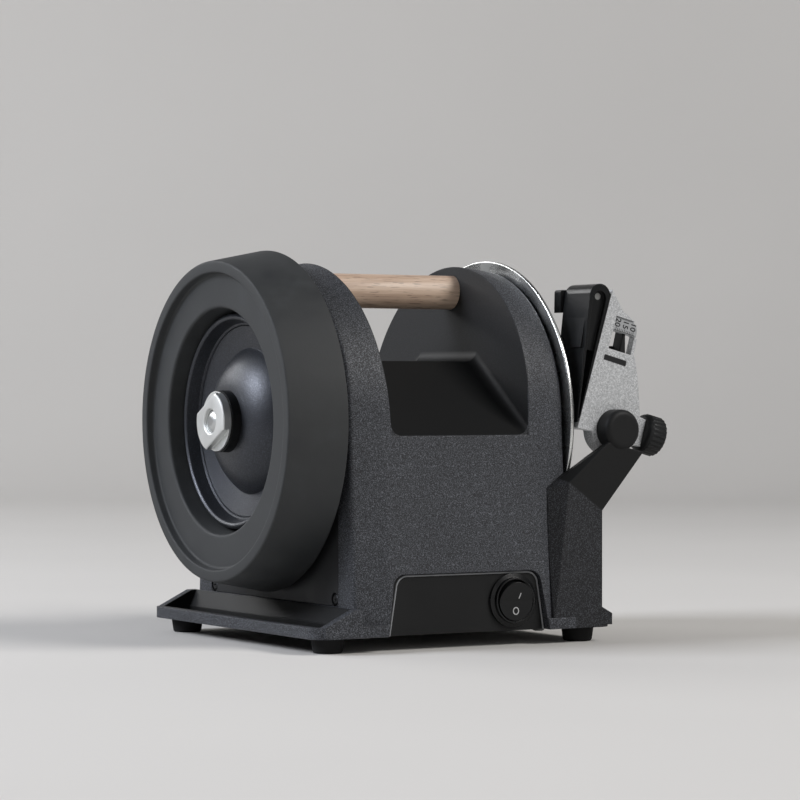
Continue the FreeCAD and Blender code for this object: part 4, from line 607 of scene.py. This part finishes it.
def printed(name, outlines, onto, body, material, lift=INK_HEIGHT):
    """Thin printed shapes on a piece's front: each outline is loops of (x, z) in millimetres,
    an outer one and, for a ring, an inner one with as many points."""
    target = nodes[onto]
    shape = bmesh.new()

    def point(spot, raised):
        """A point just proud of the target's front face, or as far behind it."""
        x, z = spot[0] * MM, spot[1] * MM
        place = target.ray_cast(Vector((x, IN_FRONT, z)), Vector((0, 1, 0)))[1]
        return shape.verts.new(Vector((x, place.y - (lift if raised else -lift), z)))

    for loops in outlines:
        tops = [[point(spot, True) for spot in loop] for loop in loops]
        feet = [[point(spot, False) for spot in loop] for loop in loops]
        for top, foot in zip(tops, feet):
            join_loops(shape, top, foot)
        if len(loops) == 2:
            for pair in (tops, feet):
                join_loops(shape, *pair)
        else:
            shape.faces.new(tops[0])
            shape.faces.new(feet[0])
    bmesh.ops.recalc_face_normals(shape, faces=shape.faces)
    return new_piece(name, mesh_from(shape, name), material, body, smooth=False)


OVAL_POINTS = 40


def oval(centre, half_width, half_height, turn=0.0, power=1.0):
    """A closed loop of points round an oval. A power under 1 squares it off."""
    made = []
    for step in range(OVAL_POINTS):
        angle = 2 * math.pi * step / OVAL_POINTS
        across = math.copysign(abs(math.cos(angle)) ** power, math.cos(angle)) * half_width
        along = math.copysign(abs(math.sin(angle)) ** power, math.sin(angle)) * half_height
        made.append((centre[0] + across * math.cos(turn) - along * math.sin(turn),
                     centre[1] + across * math.sin(turn) + along * math.cos(turn)))
    return made


# Pad-printed ink is an even, matte off-white.
white_ink = moulded_plastic("pad_printed_ink_white", "b4b5b6", "d6d7d8", 0.5)
ON_SPOT = (SWITCH_SPOT[0] + 1.5, SWITCH_SPOT[1] + 2.0)
OFF_SPOT = (SWITCH_SPOT[0] - 0.2, SWITCH_SPOT[1] - 4.5)
printed("switch_marks", [
    [oval(ON_SPOT, 0.24, 1.3, MARK_TURN, power=0.35)],
    [oval(OFF_SPOT, 1.55, 1.7), oval(OFF_SPOT, 1.1, 1.25)],
], "switch_rocker", "rocker", white_ink)

# Strain relief
# A black moulded bush, snapped into the rear wall where the lead would come in. It has
# the same satin skin as the switch panel.
dress(satin_abs, "cord_gland")

# Shaft, bearings and spacers
# A ground steel shaft in two ball bearings, with turned spacers that set the
# wheels' distance from the housing.
SHAFT_SPOT = (0.0, CENTRE_Y, SHAFT_HEIGHT * MM)
# Grinding and turning leave fine rings, drawn coarser here, that catch the light.
ground_steel = metal("ground_steel", "a9abab", "d0d1d0", 0.3, line=0.8 * MM, centre=SHAFT_SPOT)
turned_steel = metal("turned_steel", "9c9d9c", "c8c8c6", 0.27, line=0.9 * MM, centre=SHAFT_SPOT)
dress(ground_steel, "main_shaft", "bearing_left", "bearing_right", "motor_shaft")
dress(turned_steel, "spacer_left", "spacer_right")

# Honing wheel
# A pressed composite ring, near-black and matte, with a slightly mottled skin.
# Its hub is an aluminium spinning under a dark blue-grey coat with fine flakes.


# Mottling in the ring, per metre: about 13 mm from one patch to the next.
MOTTLE = 75.0
COMPOSITE_GRAIN = 0.8 * MM


def composite():
    """Pressed composite: matte, mottled, with a fine grain."""
    made, tree, shader, where = new_material("pressed_composite_charcoal", Metallic=0.0, IOR=1.48)
    mottle = add_node(tree, "TexNoise", {"Vector": where, "Scale": MOTTLE, "Detail": 4.0,
                                         "Roughness": 0.6})
    grain = add_node(tree, "TexNoise", {"Vector": where, "Scale": 1 / COMPOSITE_GRAIN,
                                        "Detail": 2.0})
    colour = add_node(tree, "ValToRGB", {"Fac": mottle.outputs["Fac"]},
                      stops=[(0.3, "26282a"), (0.55, "2c2e2f"), (0.75, "323436")])
    mask, normal = edge_mask(tree, 0.8 * MM, 1.6)
    edged = add_node(tree, "Mix", {0: mask, 6: colour.outputs["Color"], 7: linear("3c3e40")},
                     data_type="RGBA")
    tree.links.new(edged.outputs[2], shader.inputs["Base Color"])
    rough = add_node(tree, "ValToRGB", {"Fac": mottle.outputs["Fac"]},
                     stops=[(0.3, 0.6), (0.7, 0.72)])
    tree.links.new(rough.outputs["Color"], shader.inputs["Roughness"])
    bump = add_node(tree, "Bump", {"Strength": 0.35, "Distance": 0.08 * MM,
                                   "Height": grain.outputs["Fac"], "Normal": normal})
    tree.links.new(bump.outputs["Normal"], shader.inputs["Normal"])
    return made


SHAFT_TURN = Matrix.Translation(SHAFT_SPOT) @ Matrix.Rotation(math.radians(90), 4, "Y")
RING_TURNS = 192
ROUND_STEPS = 5


def rounded(corners):
    """Round a closed outline: each corner is (along, radius, size of its round)."""
    made = []
    for index, (along, out, size) in enumerate(corners):
        here = Vector((along, out))
        before = (Vector(corners[index - 1][:2]) - here).normalized()
        after = (Vector(corners[(index + 1) % len(corners)][:2]) - here).normalized()
        reach = size / math.tan(before.angle(after) / 2)
        for step in range(ROUND_STEPS + 1):
            share = step / ROUND_STEPS
            spot = ((here + before * reach) * (1 - share) ** 2 + here * 2 * share * (1 - share)
                    + (here + after * reach) * share ** 2)
            made.append((spot.x, spot.y))
    return made


def turned_piece(name, outline, material):
    """A closed outline of (along, radius) in millimetres, turned about the shaft."""
    shape = bmesh.new()
    points = [(along * MM, out * MM) for along, out in outline]
    lathe(shape, points + points[:1], RING_TURNS)
    bmesh.ops.remove_doubles(shape, verts=shape.verts, dist=1e-7)
    bmesh.ops.recalc_face_normals(shape, faces=shape.faces)
    shape.transform(SHAFT_TURN)
    return new_piece(name, mesh_from(shape, name), material, "wheels")


# Along the shaft from its spot and the radius, with each corner's round: the back, the
# tapered rim, the lip, the sunk face and the wall down to the seat on the hub. The bead
# lies in the corner between that wall and the hub.
RING_OUTLINE = [
    (-68.1, 41.8, 0.3), (-68.1, 74.86, 0.8), (-94.3, 69.7, 1.0), (-94.3, 64.8, 0.8),
    (-90.9, 64.0, 1.2), (-90.9, 49.4, 1.6), (-77.0, 47.9, 1.2), (-77.0, 41.8, 0.2),
]
BEAD_OUTLINE = [
    (-76.8, 42.0, 0.1), (-76.8, 47.2, 0.1), (-83.9, 46.9, 0.6), (-85.0, 45.6, 0.7),
    (-84.2, 44.4, 0.6), (-78.8, 43.0, 0.5), (-78.6, 42.0, 0.1),
]
honing_ring = turned_piece("honing_ring_moulded", rounded(RING_OUTLINE), composite())
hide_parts("honing_ring")
hub_coat = coated_casting("spun_aluminium_blue_black_coat", "060708", "0b0c0e",
                          "2e323a", "202327", 0.42)
hub_shader = hub_coat.node_tree.nodes["Principled BSDF"]
hub_shader.inputs["Specular IOR Level"].default_value = 0.7
hub_shader.inputs["Specular Tint"].default_value = linear("eef3ff")
dress(hub_coat, "honing_hub")
turned_piece("honing_hub_bead", rounded(BEAD_OUTLINE), hub_coat)
dress(satin_abs, "honing_washer")
# Polished steel is mirror-like, and satin nickel paler with a soft, broad highlight.
bright_steel = metal("polished_steel", "bcbdbc", "e2e2e0", 0.14, line=0.9 * MM, centre=SHAFT_SPOT)
nut_steel = metal("nickel_plated_steel_satin", "c6c8c7", "eeefed", 0.42, line=0.9 * MM,
                  centre=SHAFT_SPOT)
# Millimetres along the shaft, then radii.
NUT_FRONT, NUT_BACK, NUT_LEDGE = -95.3, -91.0, -92.3
NUT_RADIUS, NUT_THREAD, NUT_SINK, NUT_HOLE = 13.0, 5.0, 5.9, 5.9 - 0.45
NUT_TURNS = 96
FLAT_REACH = 8.9
FLAT_TURN = math.radians(-28)


def flatted_nut():
    """A round nut with two flats milled in from its front, down to a thin flange."""
    shape = bmesh.new()

    def loop(along, radius, flatted=False):
        """One closed loop of points, round or cut by the two flats."""
        made = []
        for step in range(NUT_TURNS):
            angle = 2 * math.pi * step / NUT_TURNS
            reach = radius
            if flatted:
                slant = max(abs(math.cos(angle - FLAT_TURN)), 1e-6)
                reach = min(radius, (FLAT_REACH - (NUT_RADIUS - radius)) / slant)
            spot = (reach * math.cos(angle) * MM, reach * math.sin(angle) * MM, along * MM)
            made.append(shape.verts.new(spot))
        return made

    # From the bore at the back, over the flange and up the flats, to the sunk bore's front.
    loops = [
        loop(NUT_BACK, NUT_THREAD), loop(NUT_BACK, NUT_RADIUS - 0.4),
        loop(NUT_BACK - 0.4, NUT_RADIUS), loop(NUT_LEDGE, NUT_RADIUS),
        loop(NUT_LEDGE, NUT_RADIUS, True), loop(NUT_FRONT + 0.6, NUT_RADIUS, True),
        loop(NUT_FRONT + 0.15, NUT_RADIUS - 0.35, True), loop(NUT_FRONT, NUT_RADIUS - 0.9, True),
        loop(NUT_FRONT, NUT_SINK), loop(NUT_FRONT + 0.4, NUT_HOLE),
        loop(NUT_FRONT + 1.2, NUT_HOLE), loop(NUT_FRONT + 1.2, NUT_THREAD),
    ]
    for low, high in zip(loops, loops[1:] + loops[:1]):
        join_loops(shape, low, high)
    bmesh.ops.remove_doubles(shape, verts=shape.verts, dist=1e-7)
    bmesh.ops.recalc_face_normals(shape, faces=shape.faces)
    shape.transform(SHAFT_TURN)
    return mesh_from(shape, "honing_nut_milled")


honing_nut = new_piece("honing_nut_milled", flatted_nut(), nut_steel, "wheels")
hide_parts("honing_nut")

# Grinding wheel
# A flat steel disc, ground bright. Its face carries a ring of diamond grit in a nickel
# bond, which is grey and glitters in points.


# The real grit is finer. It is drawn 0.6 mm apart so that its points show.
GRIT = 0.6 * MM


def diamond_grit():
    """Diamond grit in nickel: dark grey metal with bright points."""
    made, tree, shader, where = new_material("nickel_bonded_diamond", Metallic=0.8)
    points = add_node(tree, "TexVoronoi", {"Vector": where, "Scale": 1 / GRIT})
    colour = add_node(tree, "ValToRGB", {"Fac": points.outputs["Distance"]},
                      stops=[(0.1, "a9abad"), (0.35, "6c6e70"), (0.8, "4b4d4f")])
    tree.links.new(colour.outputs["Color"], shader.inputs["Base Color"])
    rough = add_node(tree, "ValToRGB", {"Fac": points.outputs["Distance"]},
                     stops=[(0.1, 0.2), (0.5, 0.6)])
    tree.links.new(rough.outputs["Color"], shader.inputs["Roughness"])
    bump = add_node(tree, "Bump", {"Strength": 0.6, "Distance": 0.1 * MM,
                                   "Height": points.outputs["Distance"]}, invert=True)
    tree.links.new(bump.outputs["Normal"], shader.inputs["Normal"])
    return made


dress(bright_steel, "grinding_washer", "grinding_nut")
DISC_BACK, DISC_FACE, DISC_RADIUS = 44.7, 46.5, 72.5
RIM_ROUND, BORE_ROUND = 0.75, 0.1
disc_bore = min(math.hypot(vert.co.y - SHAFT_SPOT[1], vert.co.z - SHAFT_SPOT[2])
                for vert in nodes["grinding_disc"].data.vertices) / MM
disc_outline = rounded([(DISC_BACK, disc_bore, BORE_ROUND), (DISC_BACK, DISC_RADIUS, RIM_ROUND),
                        (DISC_FACE, DISC_RADIUS, RIM_ROUND), (DISC_FACE, disc_bore, BORE_ROUND)])
ground_rim = metal("face_ground_steel", "c4c5c4", "ecedeb", 0.2, line=1.0 * MM, centre=SHAFT_SPOT)
grinding_disc = turned_piece("grinding_disc_ground", disc_outline, ground_rim)
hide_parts("grinding_disc")
dress(diamond_grit(), "diamond_ring")

# Gear train
# The large wheel is moulded nylon, an even cream, and the pinion is hobbed steel on the
# motor's shaft. They step the motor down by five to one.
dress(moulded_plastic("moulded_nylon_natural", "b9b4a4", "d2cdbe", 0.45), "main_gear")
dress(turned_steel, "motor_pinion")

# Motor
# A small induction motor: a stack of punched steel laminations, two lacquered
# copper windings, a rotor and cast brackets that also hold its shaft.


def striped(name, dark, light, pitch, roughness):
    """Metal sheets or wires side by side along X, a set distance apart."""
    made, tree, shader, where = new_material(name, Metallic=0.9)
    lines = add_node(tree, "TexWave", {"Vector": where, "Scale": wave_scale(pitch),
                                       "Distortion": 0.3, "Detail": 1.0},
                     wave_type="BANDS", bands_direction="X")
    colour = add_node(tree, "Mix", {0: lines.outputs["Fac"], 6: linear(dark), 7: linear(light)},
                      data_type="RGBA")
    tree.links.new(colour.outputs[2], shader.inputs["Base Color"])
    rough = add_node(tree, "ValToRGB", {"Fac": lines.outputs["Fac"]},
                     stops=[(0.0, roughness + 0.15), (1.0, roughness)])
    tree.links.new(rough.outputs["Color"], shader.inputs["Roughness"])
    bump = add_node(tree, "Bump", {"Strength": 0.7, "Distance": 0.15 * MM,
                                   "Height": lines.outputs["Fac"]})
    tree.links.new(bump.outputs["Normal"], shader.inputs["Normal"])
    return made


# Stacked sheets and wound wire both show as close lines, drawn coarser than real ones.
# Cast zinc is a dull grey, and the capacitor's case a matte cream.
dress(striped("punched_steel_laminations", "3c3d3f", "7d7f82", 1.0 * MM, 0.4),
      "motor_stator", "motor_rotor")
dress(striped("lacquered_copper_wire", "5e2a12", "b0643a", 0.9 * MM, 0.3),
      "motor_winding_left", "motor_winding_right")
dress(metal("cast_zinc", "6d6f71", "8d9092", 0.45), "motor_bracket_left", "motor_bracket_right")
dress(moulded_plastic("moulded_polypropylene_cream", "b7b2a2", "cac6b8", 0.5), "capacitor")

# Guide casting's support
# A second die casting, screwed to the right of the housing, with a darker coat of the
# same kind. Its arm leans out to a knuckle with a soft, domed front.
# Beyond the fold the arm is drawn smooth and near-black: painted shade on its downward-leaning face.
# ARM_FOLD is the plane that cuts it off, as its way and its reach.
ARM_FOLD = [((0.587, 0.0, 0.810), 80.3 * MM)]
dress(coated_casting("powder_coated_aluminium_black", "17181a", "222326", "4c4e53", "303235",
                     0.55, painted_shade_zones=[ARM_FOLD]), "guide_support")

# Guide
# A zinc die casting in silver paint with coarse flakes. A grey scale is set into
# the top of its window, and a fixed black pointer stands behind it.


# The real flakes are finer. They are drawn at 0.55 mm so that they show.
PAINT_FLAKE = 0.55 * MM


def silver_paint():
    """Silver paint on a casting, with coarse light and dark flakes."""
    made, tree, shader, where = new_material("silver_painted_zinc", Metallic=0.3, IOR=1.5)
    flakes = add_node(tree, "TexNoise", {"Vector": where, "Scale": 1 / PAINT_FLAKE, "Detail": 1.5})
    colour = add_node(tree, "ValToRGB", {"Fac": flakes.outputs["Fac"]},
                      stops=[(0.3, "9c9ea0"), (0.5, "b7b9bb"), (0.7, "d8dadc")])
    mask, normal = edge_mask(tree, 0.5 * MM, 1.6)
    edged = add_node(tree, "Mix", {0: mask, 6: colour.outputs["Color"], 7: linear("d8dadb")},
                     data_type="RGBA")
    tree.links.new(edged.outputs[2], shader.inputs["Base Color"])
    rough = add_node(tree, "ValToRGB", {"Fac": flakes.outputs["Fac"]},
                     stops=[(0.35, 0.6), (0.7, 0.36)])
    tree.links.new(rough.outputs["Color"], shader.inputs["Roughness"])
    bump = add_node(tree, "Bump", {"Strength": 0.5, "Distance": 0.1 * MM,
                                   "Height": flakes.outputs["Fac"], "Normal": normal})
    tree.links.new(bump.outputs["Normal"], shader.inputs["Normal"])
    return made


dress(silver_paint(), "guide_body")
# Anodising leaves the scale an even, matte grey, which the plastics' faint grain suits.
dress(moulded_plastic("anodised_aluminium_grey", "9b9d9f", "acaeb0", 0.42), "scale_plate")

# The pointer's outlines as (x, z), and how far back and forward they reach, in millimetres.
POINTER_ARM = [(61.2, 87.7), (72.2, 87.7), (74.3, 126.7), (74.3, 129.7), (69.3, 129.7),
               (68.3, 126.7)]
POINTER_BLADE = [(70.9, 126.6), (74.2, 126.2), (74.2, 136.0), (73.1, 136.0)]
POINTER_BACK, POINTER_STEP, POINTER_TIP = -65.35, -66.55, -72.5
POINTER_LAP = 0.4
POINTER_ROUND = 0.25 * MM


def prisms(name, parts):
    """Flat outlines of (x, z) in millimetres, each pushed from one y to another."""
    shape = bmesh.new()
    for outline, back, front in parts:
        rings = [[shape.verts.new((x * MM, y * MM, z * MM)) for x, z in outline]
                 for y in (back, front)]
        shape.faces.new(rings[0])
        shape.faces.new(rings[1])
        join_loops(shape, *rings)
    bmesh.ops.recalc_face_normals(shape, faces=shape.faces)
    bmesh.ops.bevel(shape, geom=list(shape.edges), offset=POINTER_ROUND, segments=2,
                    affect="EDGES", clamp_overlap=True)
    return mesh_from(shape, name)


pointer_mesh = prisms("angle_pointer_blade", [
    (POINTER_ARM, POINTER_BACK, POINTER_STEP),
    (POINTER_BLADE, POINTER_STEP + POINTER_LAP, POINTER_TIP),
])
pointer = new_piece("angle_pointer_blade", pointer_mesh, satin_abs, "frame")
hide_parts("angle_pointer")

# Places in the guide's own plane are millimetres across from its pivot and up along it.
GUIDE_PIVOT = (66.7, 92.7)
GUIDE_LEAN = math.radians(15)
SCALE_TICKS, LONG_EVERY = 10, 5
SCALE_START, SCALE_LENGTH = -9.8, 9.4
NUMBERS = (("20", -9.5), ("15", -5.2), ("10", -1.1))
NUMBER_ROW, NUMBER_HEIGHT = 46.5, 3.9
# A tick's middle and half its height, then whole strips: place, half width, half height.
SHORT_TICK, LONG_TICK, TICK_HALF_WIDTH = (43.55, 0.55), (43.75, 0.75), 0.12
SCALE_LINE = (-5.1, 42.98, 5.6, 0.1)
LABEL_PLATE = (-7.0, 29.85, 6.0, 1.2)
LABEL_LIFT = 0.15 * MM


def on_guide(across, up):
    """A point in the leaning guide's own plane, as the machine's x and z in millimetres."""
    return (GUIDE_PIVOT[0] + across * math.cos(GUIDE_LEAN) + up * math.sin(GUIDE_LEAN),
            GUIDE_PIVOT[1] - across * math.sin(GUIDE_LEAN) + up * math.cos(GUIDE_LEAN))


def strip(across, up, half_width, half_height):
    """A rectangle with its corners just cut, in the guide's plane."""
    cut = min(half_width, half_height) * 0.2
    corners = [(half_width, half_height - cut), (half_width - cut, half_height),
               (cut - half_width, half_height), (-half_width, half_height - cut),
               (-half_width, cut - half_height), (cut - half_width, -half_height),
               (half_width - cut, -half_height), (half_width, cut - half_height)]
    return [on_guide(across + side, up + end) for side, end in corners]


# Screen-printed ink is an even, matte black.
black_ink = moulded_plastic("screen_printed_ink_black", "141516", "202123", 0.5)
ticks = []
for step in range(SCALE_TICKS + 1):
    place = SCALE_START + step * SCALE_LENGTH / SCALE_TICKS
    middle, half_height = SHORT_TICK if step % LONG_EVERY else LONG_TICK
    ticks.append([strip(place, middle, TICK_HALF_WIDTH, half_height)])
ticks.append([strip(*SCALE_LINE)])
printed("scale_ticks", ticks, "scale_plate", "guide", black_ink)
reading_way = Vector((math.cos(GUIDE_LEAN), 0, -math.sin(GUIDE_LEAN)))
guide_up = Vector((math.sin(GUIDE_LEAN), 0, math.cos(GUIDE_LEAN)))
for number, across in NUMBERS:
    text = bpy.data.curves.new("scale_number_" + number, "FONT")
    text.body = number
    text.size = NUMBER_HEIGHT * MM
    text.offset = 0.05 * MM
    text.extrude = INK_HEIGHT
    text.align_x = "CENTER"
    text.align_y = "CENTER"
    x, z = on_guide(across, NUMBER_ROW)
    place = Matrix((-guide_up, reading_way, Vector((0, -1, 0)))).transposed().to_4x4()
    place.translation = Vector((x * MM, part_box("scale_plate")[0][1], z * MM))
    holder = bpy.data.objects.new("text", text)
    bpy.context.scene.collection.objects.link(holder)
    letters = baked(holder)
    bpy.data.objects.remove(holder)
    letters.transform(place)
    letters.name = "scale_number_" + number
    letters.materials.clear()
    new_piece("scale_number_" + number, letters, black_ink, "guide", smooth=False)
printed("guide_label_plate", [[strip(*LABEL_PLATE)]], "guide_body", "guide", black_ink,
        lift=LABEL_LIFT)
dress(turned_steel, "pivot_pin", "pivot_nut", "clamp_pin", "lock_stud")

# Blade rest and clamp
# Glossy black glass-filled nylon, with a hooked release lever on its pin and a
# small spring leaf of bright steel below the hook.
glossy_nylon = moulded_plastic("glass_filled_nylon_black", "0b0c0d", "242628", 0.3,
                               height=0.03 * MM)
dress(glossy_nylon, "blade_rest", "clamp_lever")
dress(bright_steel, "clamp_leaf")

# Lock knob
# A ribbed phenolic knob, moulded round a steel stud. Its satin black skin catches a
# soft line of light along each rib.
KNOB_SPOT = Vector((86.795, -70.85, 90.421)) * MM
KNOB_RIBS = 24
# How high the knob stands at each step round one rib, as a share of the rib's depth.
RIB_WAVE = (1, 1, 0.75, 0, 0, 0.75)
# Along its axis, from the shoulder to the outer end: (along, radius, depth of the ribs).
KNOB_OUTLINE = [(-4.2, 2.5, 0), (-4.2, 6.6, 0), (-3.9, 7.6, 0), (-3.2, 8.3, 0), (-2.4, 8.6, 0),
                (-2.2, 8.8, 0.1), (-1.9, 8.9, 0.55), (4.3, 8.9, 0.6), (4.8, 8.6, 0.5),
                (5.2, 8.0, 0.1), (5.3, 7.2, 0), (5.3, 3.4, 0), (4.9, 3.0, 0), (4.9, 2.5, 0)]


def ribbed_knob():
    """A knob with ribs pressed round it, turned about its own leaning axis."""
    shape = bmesh.new()
    turns = KNOB_RIBS * len(RIB_WAVE)
    rings = []
    for along, radius, depth in KNOB_OUTLINE:
        ring = []
        for step in range(turns):
            angle = 2 * math.pi * step / turns
            wave = RIB_WAVE[step % len(RIB_WAVE)]
            reach = (radius - depth * (1 - wave)) * MM
            spot = (reach * math.cos(angle), reach * math.sin(angle), along * MM)
            ring.append(shape.verts.new(spot))
        rings.append(ring)
    for low, high in zip(rings, rings[1:] + rings[:1]):
        join_loops(shape, low, high)
    bmesh.ops.recalc_face_normals(shape, faces=shape.faces)
    lean = Matrix.Rotation(math.radians(90) + GUIDE_LEAN, 4, "Y")
    shape.transform(Matrix.Translation(KNOB_SPOT) @ lean)
    return mesh_from(shape, "lock_knob_ribbed")


phenolic = moulded_plastic("moulded_phenolic_black", "0f1011", "242628", 0.42)
lock_knob = new_piece("lock_knob_ribbed", ribbed_knob(), phenolic, "knob")
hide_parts("lock_knob")

# Stage
# A plain floor in matte pale paint, which turns up into a backdrop behind the machine
# as the camera sees it. Large soft lamps stand round it.
# Metres: half the floor's width, where it starts to turn up, its curve, and its top.
FLOOR_HALF, CURVE_START, CURVE_RADIUS, WALL_TOP = 3.0, 1.6, 0.6, 2.6
CURVE_STEPS = 12
floor_shape = bmesh.new()
floor_profile = [(-FLOOR_HALF, 0.0), (CURVE_START, 0.0)]
for step in range(1, CURVE_STEPS + 1):
    angle = math.radians(90 * step / CURVE_STEPS)
    floor_profile.append((CURVE_START + CURVE_RADIUS * math.sin(angle),
                          CURVE_RADIUS - CURVE_RADIUS * math.cos(angle)))
floor_profile.append((CURVE_START + CURVE_RADIUS, WALL_TOP))
turned = Matrix.Rotation(VIEW_TURN, 4, "Z")
rows = []
for reach, height in floor_profile:
    rows.append([floor_shape.verts.new(turned @ Vector((side, reach, height)))
                 for side in (-FLOOR_HALF, FLOOR_HALF)])
for near, far in zip(rows, rows[1:]):
    floor_shape.faces.new((near[0], near[1], far[1], far[0]))
floor_mesh = mesh_from(floor_shape, "floor")
floor_mesh.shade_smooth()
floor = bpy.data.objects.new("floor", floor_mesh)
bpy.context.scene.collection.objects.link(floor)
paint, paint_tree, paint_shader, paint_where = new_material("matt_wall_paint_pale",
                                                            Metallic=0.0, Roughness=0.85)
paint_noise = add_node(paint_tree, "TexNoise", {"Vector": paint_where, "Scale": 3.0,
                                                "Detail": 2.0})
paint_tone = add_node(paint_tree, "Mix", {0: paint_noise.outputs["Fac"],
                                          6: linear("c9c7c4"), 7: linear("d0cecb")},
                      data_type="RGBA")
paint_tree.links.new(paint_tone.outputs[2], paint_shader.inputs["Base Color"])
floor_mesh.materials.append(paint)


# The spot in metres that every lamp faces.
MIDDLE = Vector((0.0, 0.0, 0.09))


def soft_lamp(name, spot, size, power, tint):
    """A large oblong lamp that faces the machine."""
    data = bpy.data.lights.new(name, "AREA")
    data.shape = "RECTANGLE"
    data.size, data.size_y = size
    data.energy = power
    data.color = linear(tint)[:3]
    made = bpy.data.objects.new(name, data)
    made.location = spot
    made.rotation_euler = (MIDDLE - Vector(spot)).to_track_quat("-Z", "Y").to_euler()
    bpy.context.scene.collection.objects.link(made)


soft_lamp("window_lamp", (-1.85, 0.6, 1.3), (1.0, 0.9), 46, "f2f6ff")
soft_lamp("key_lamp", (1.2, -1.7, 1.8), (1.2, 1.0), 52, "fffdfb")
soft_lamp("front_lamp", (-0.6, -2.3, 0.7), (1.4, 1.0), 5, "fffdfb")
soft_lamp("rear_lamp", (-0.9, 1.9, 1.1), (1.2, 0.8), 14, "ffffff")
world = bpy.data.worlds.new("studio")
world.use_nodes = True
background = world.node_tree.nodes["Background"]
background.inputs["Color"].default_value = linear("e6e6e8")
background.inputs["Strength"].default_value = 0.07
bpy.context.scene.world = world
bpy.context.scene.view_settings.view_transform = "Standard"
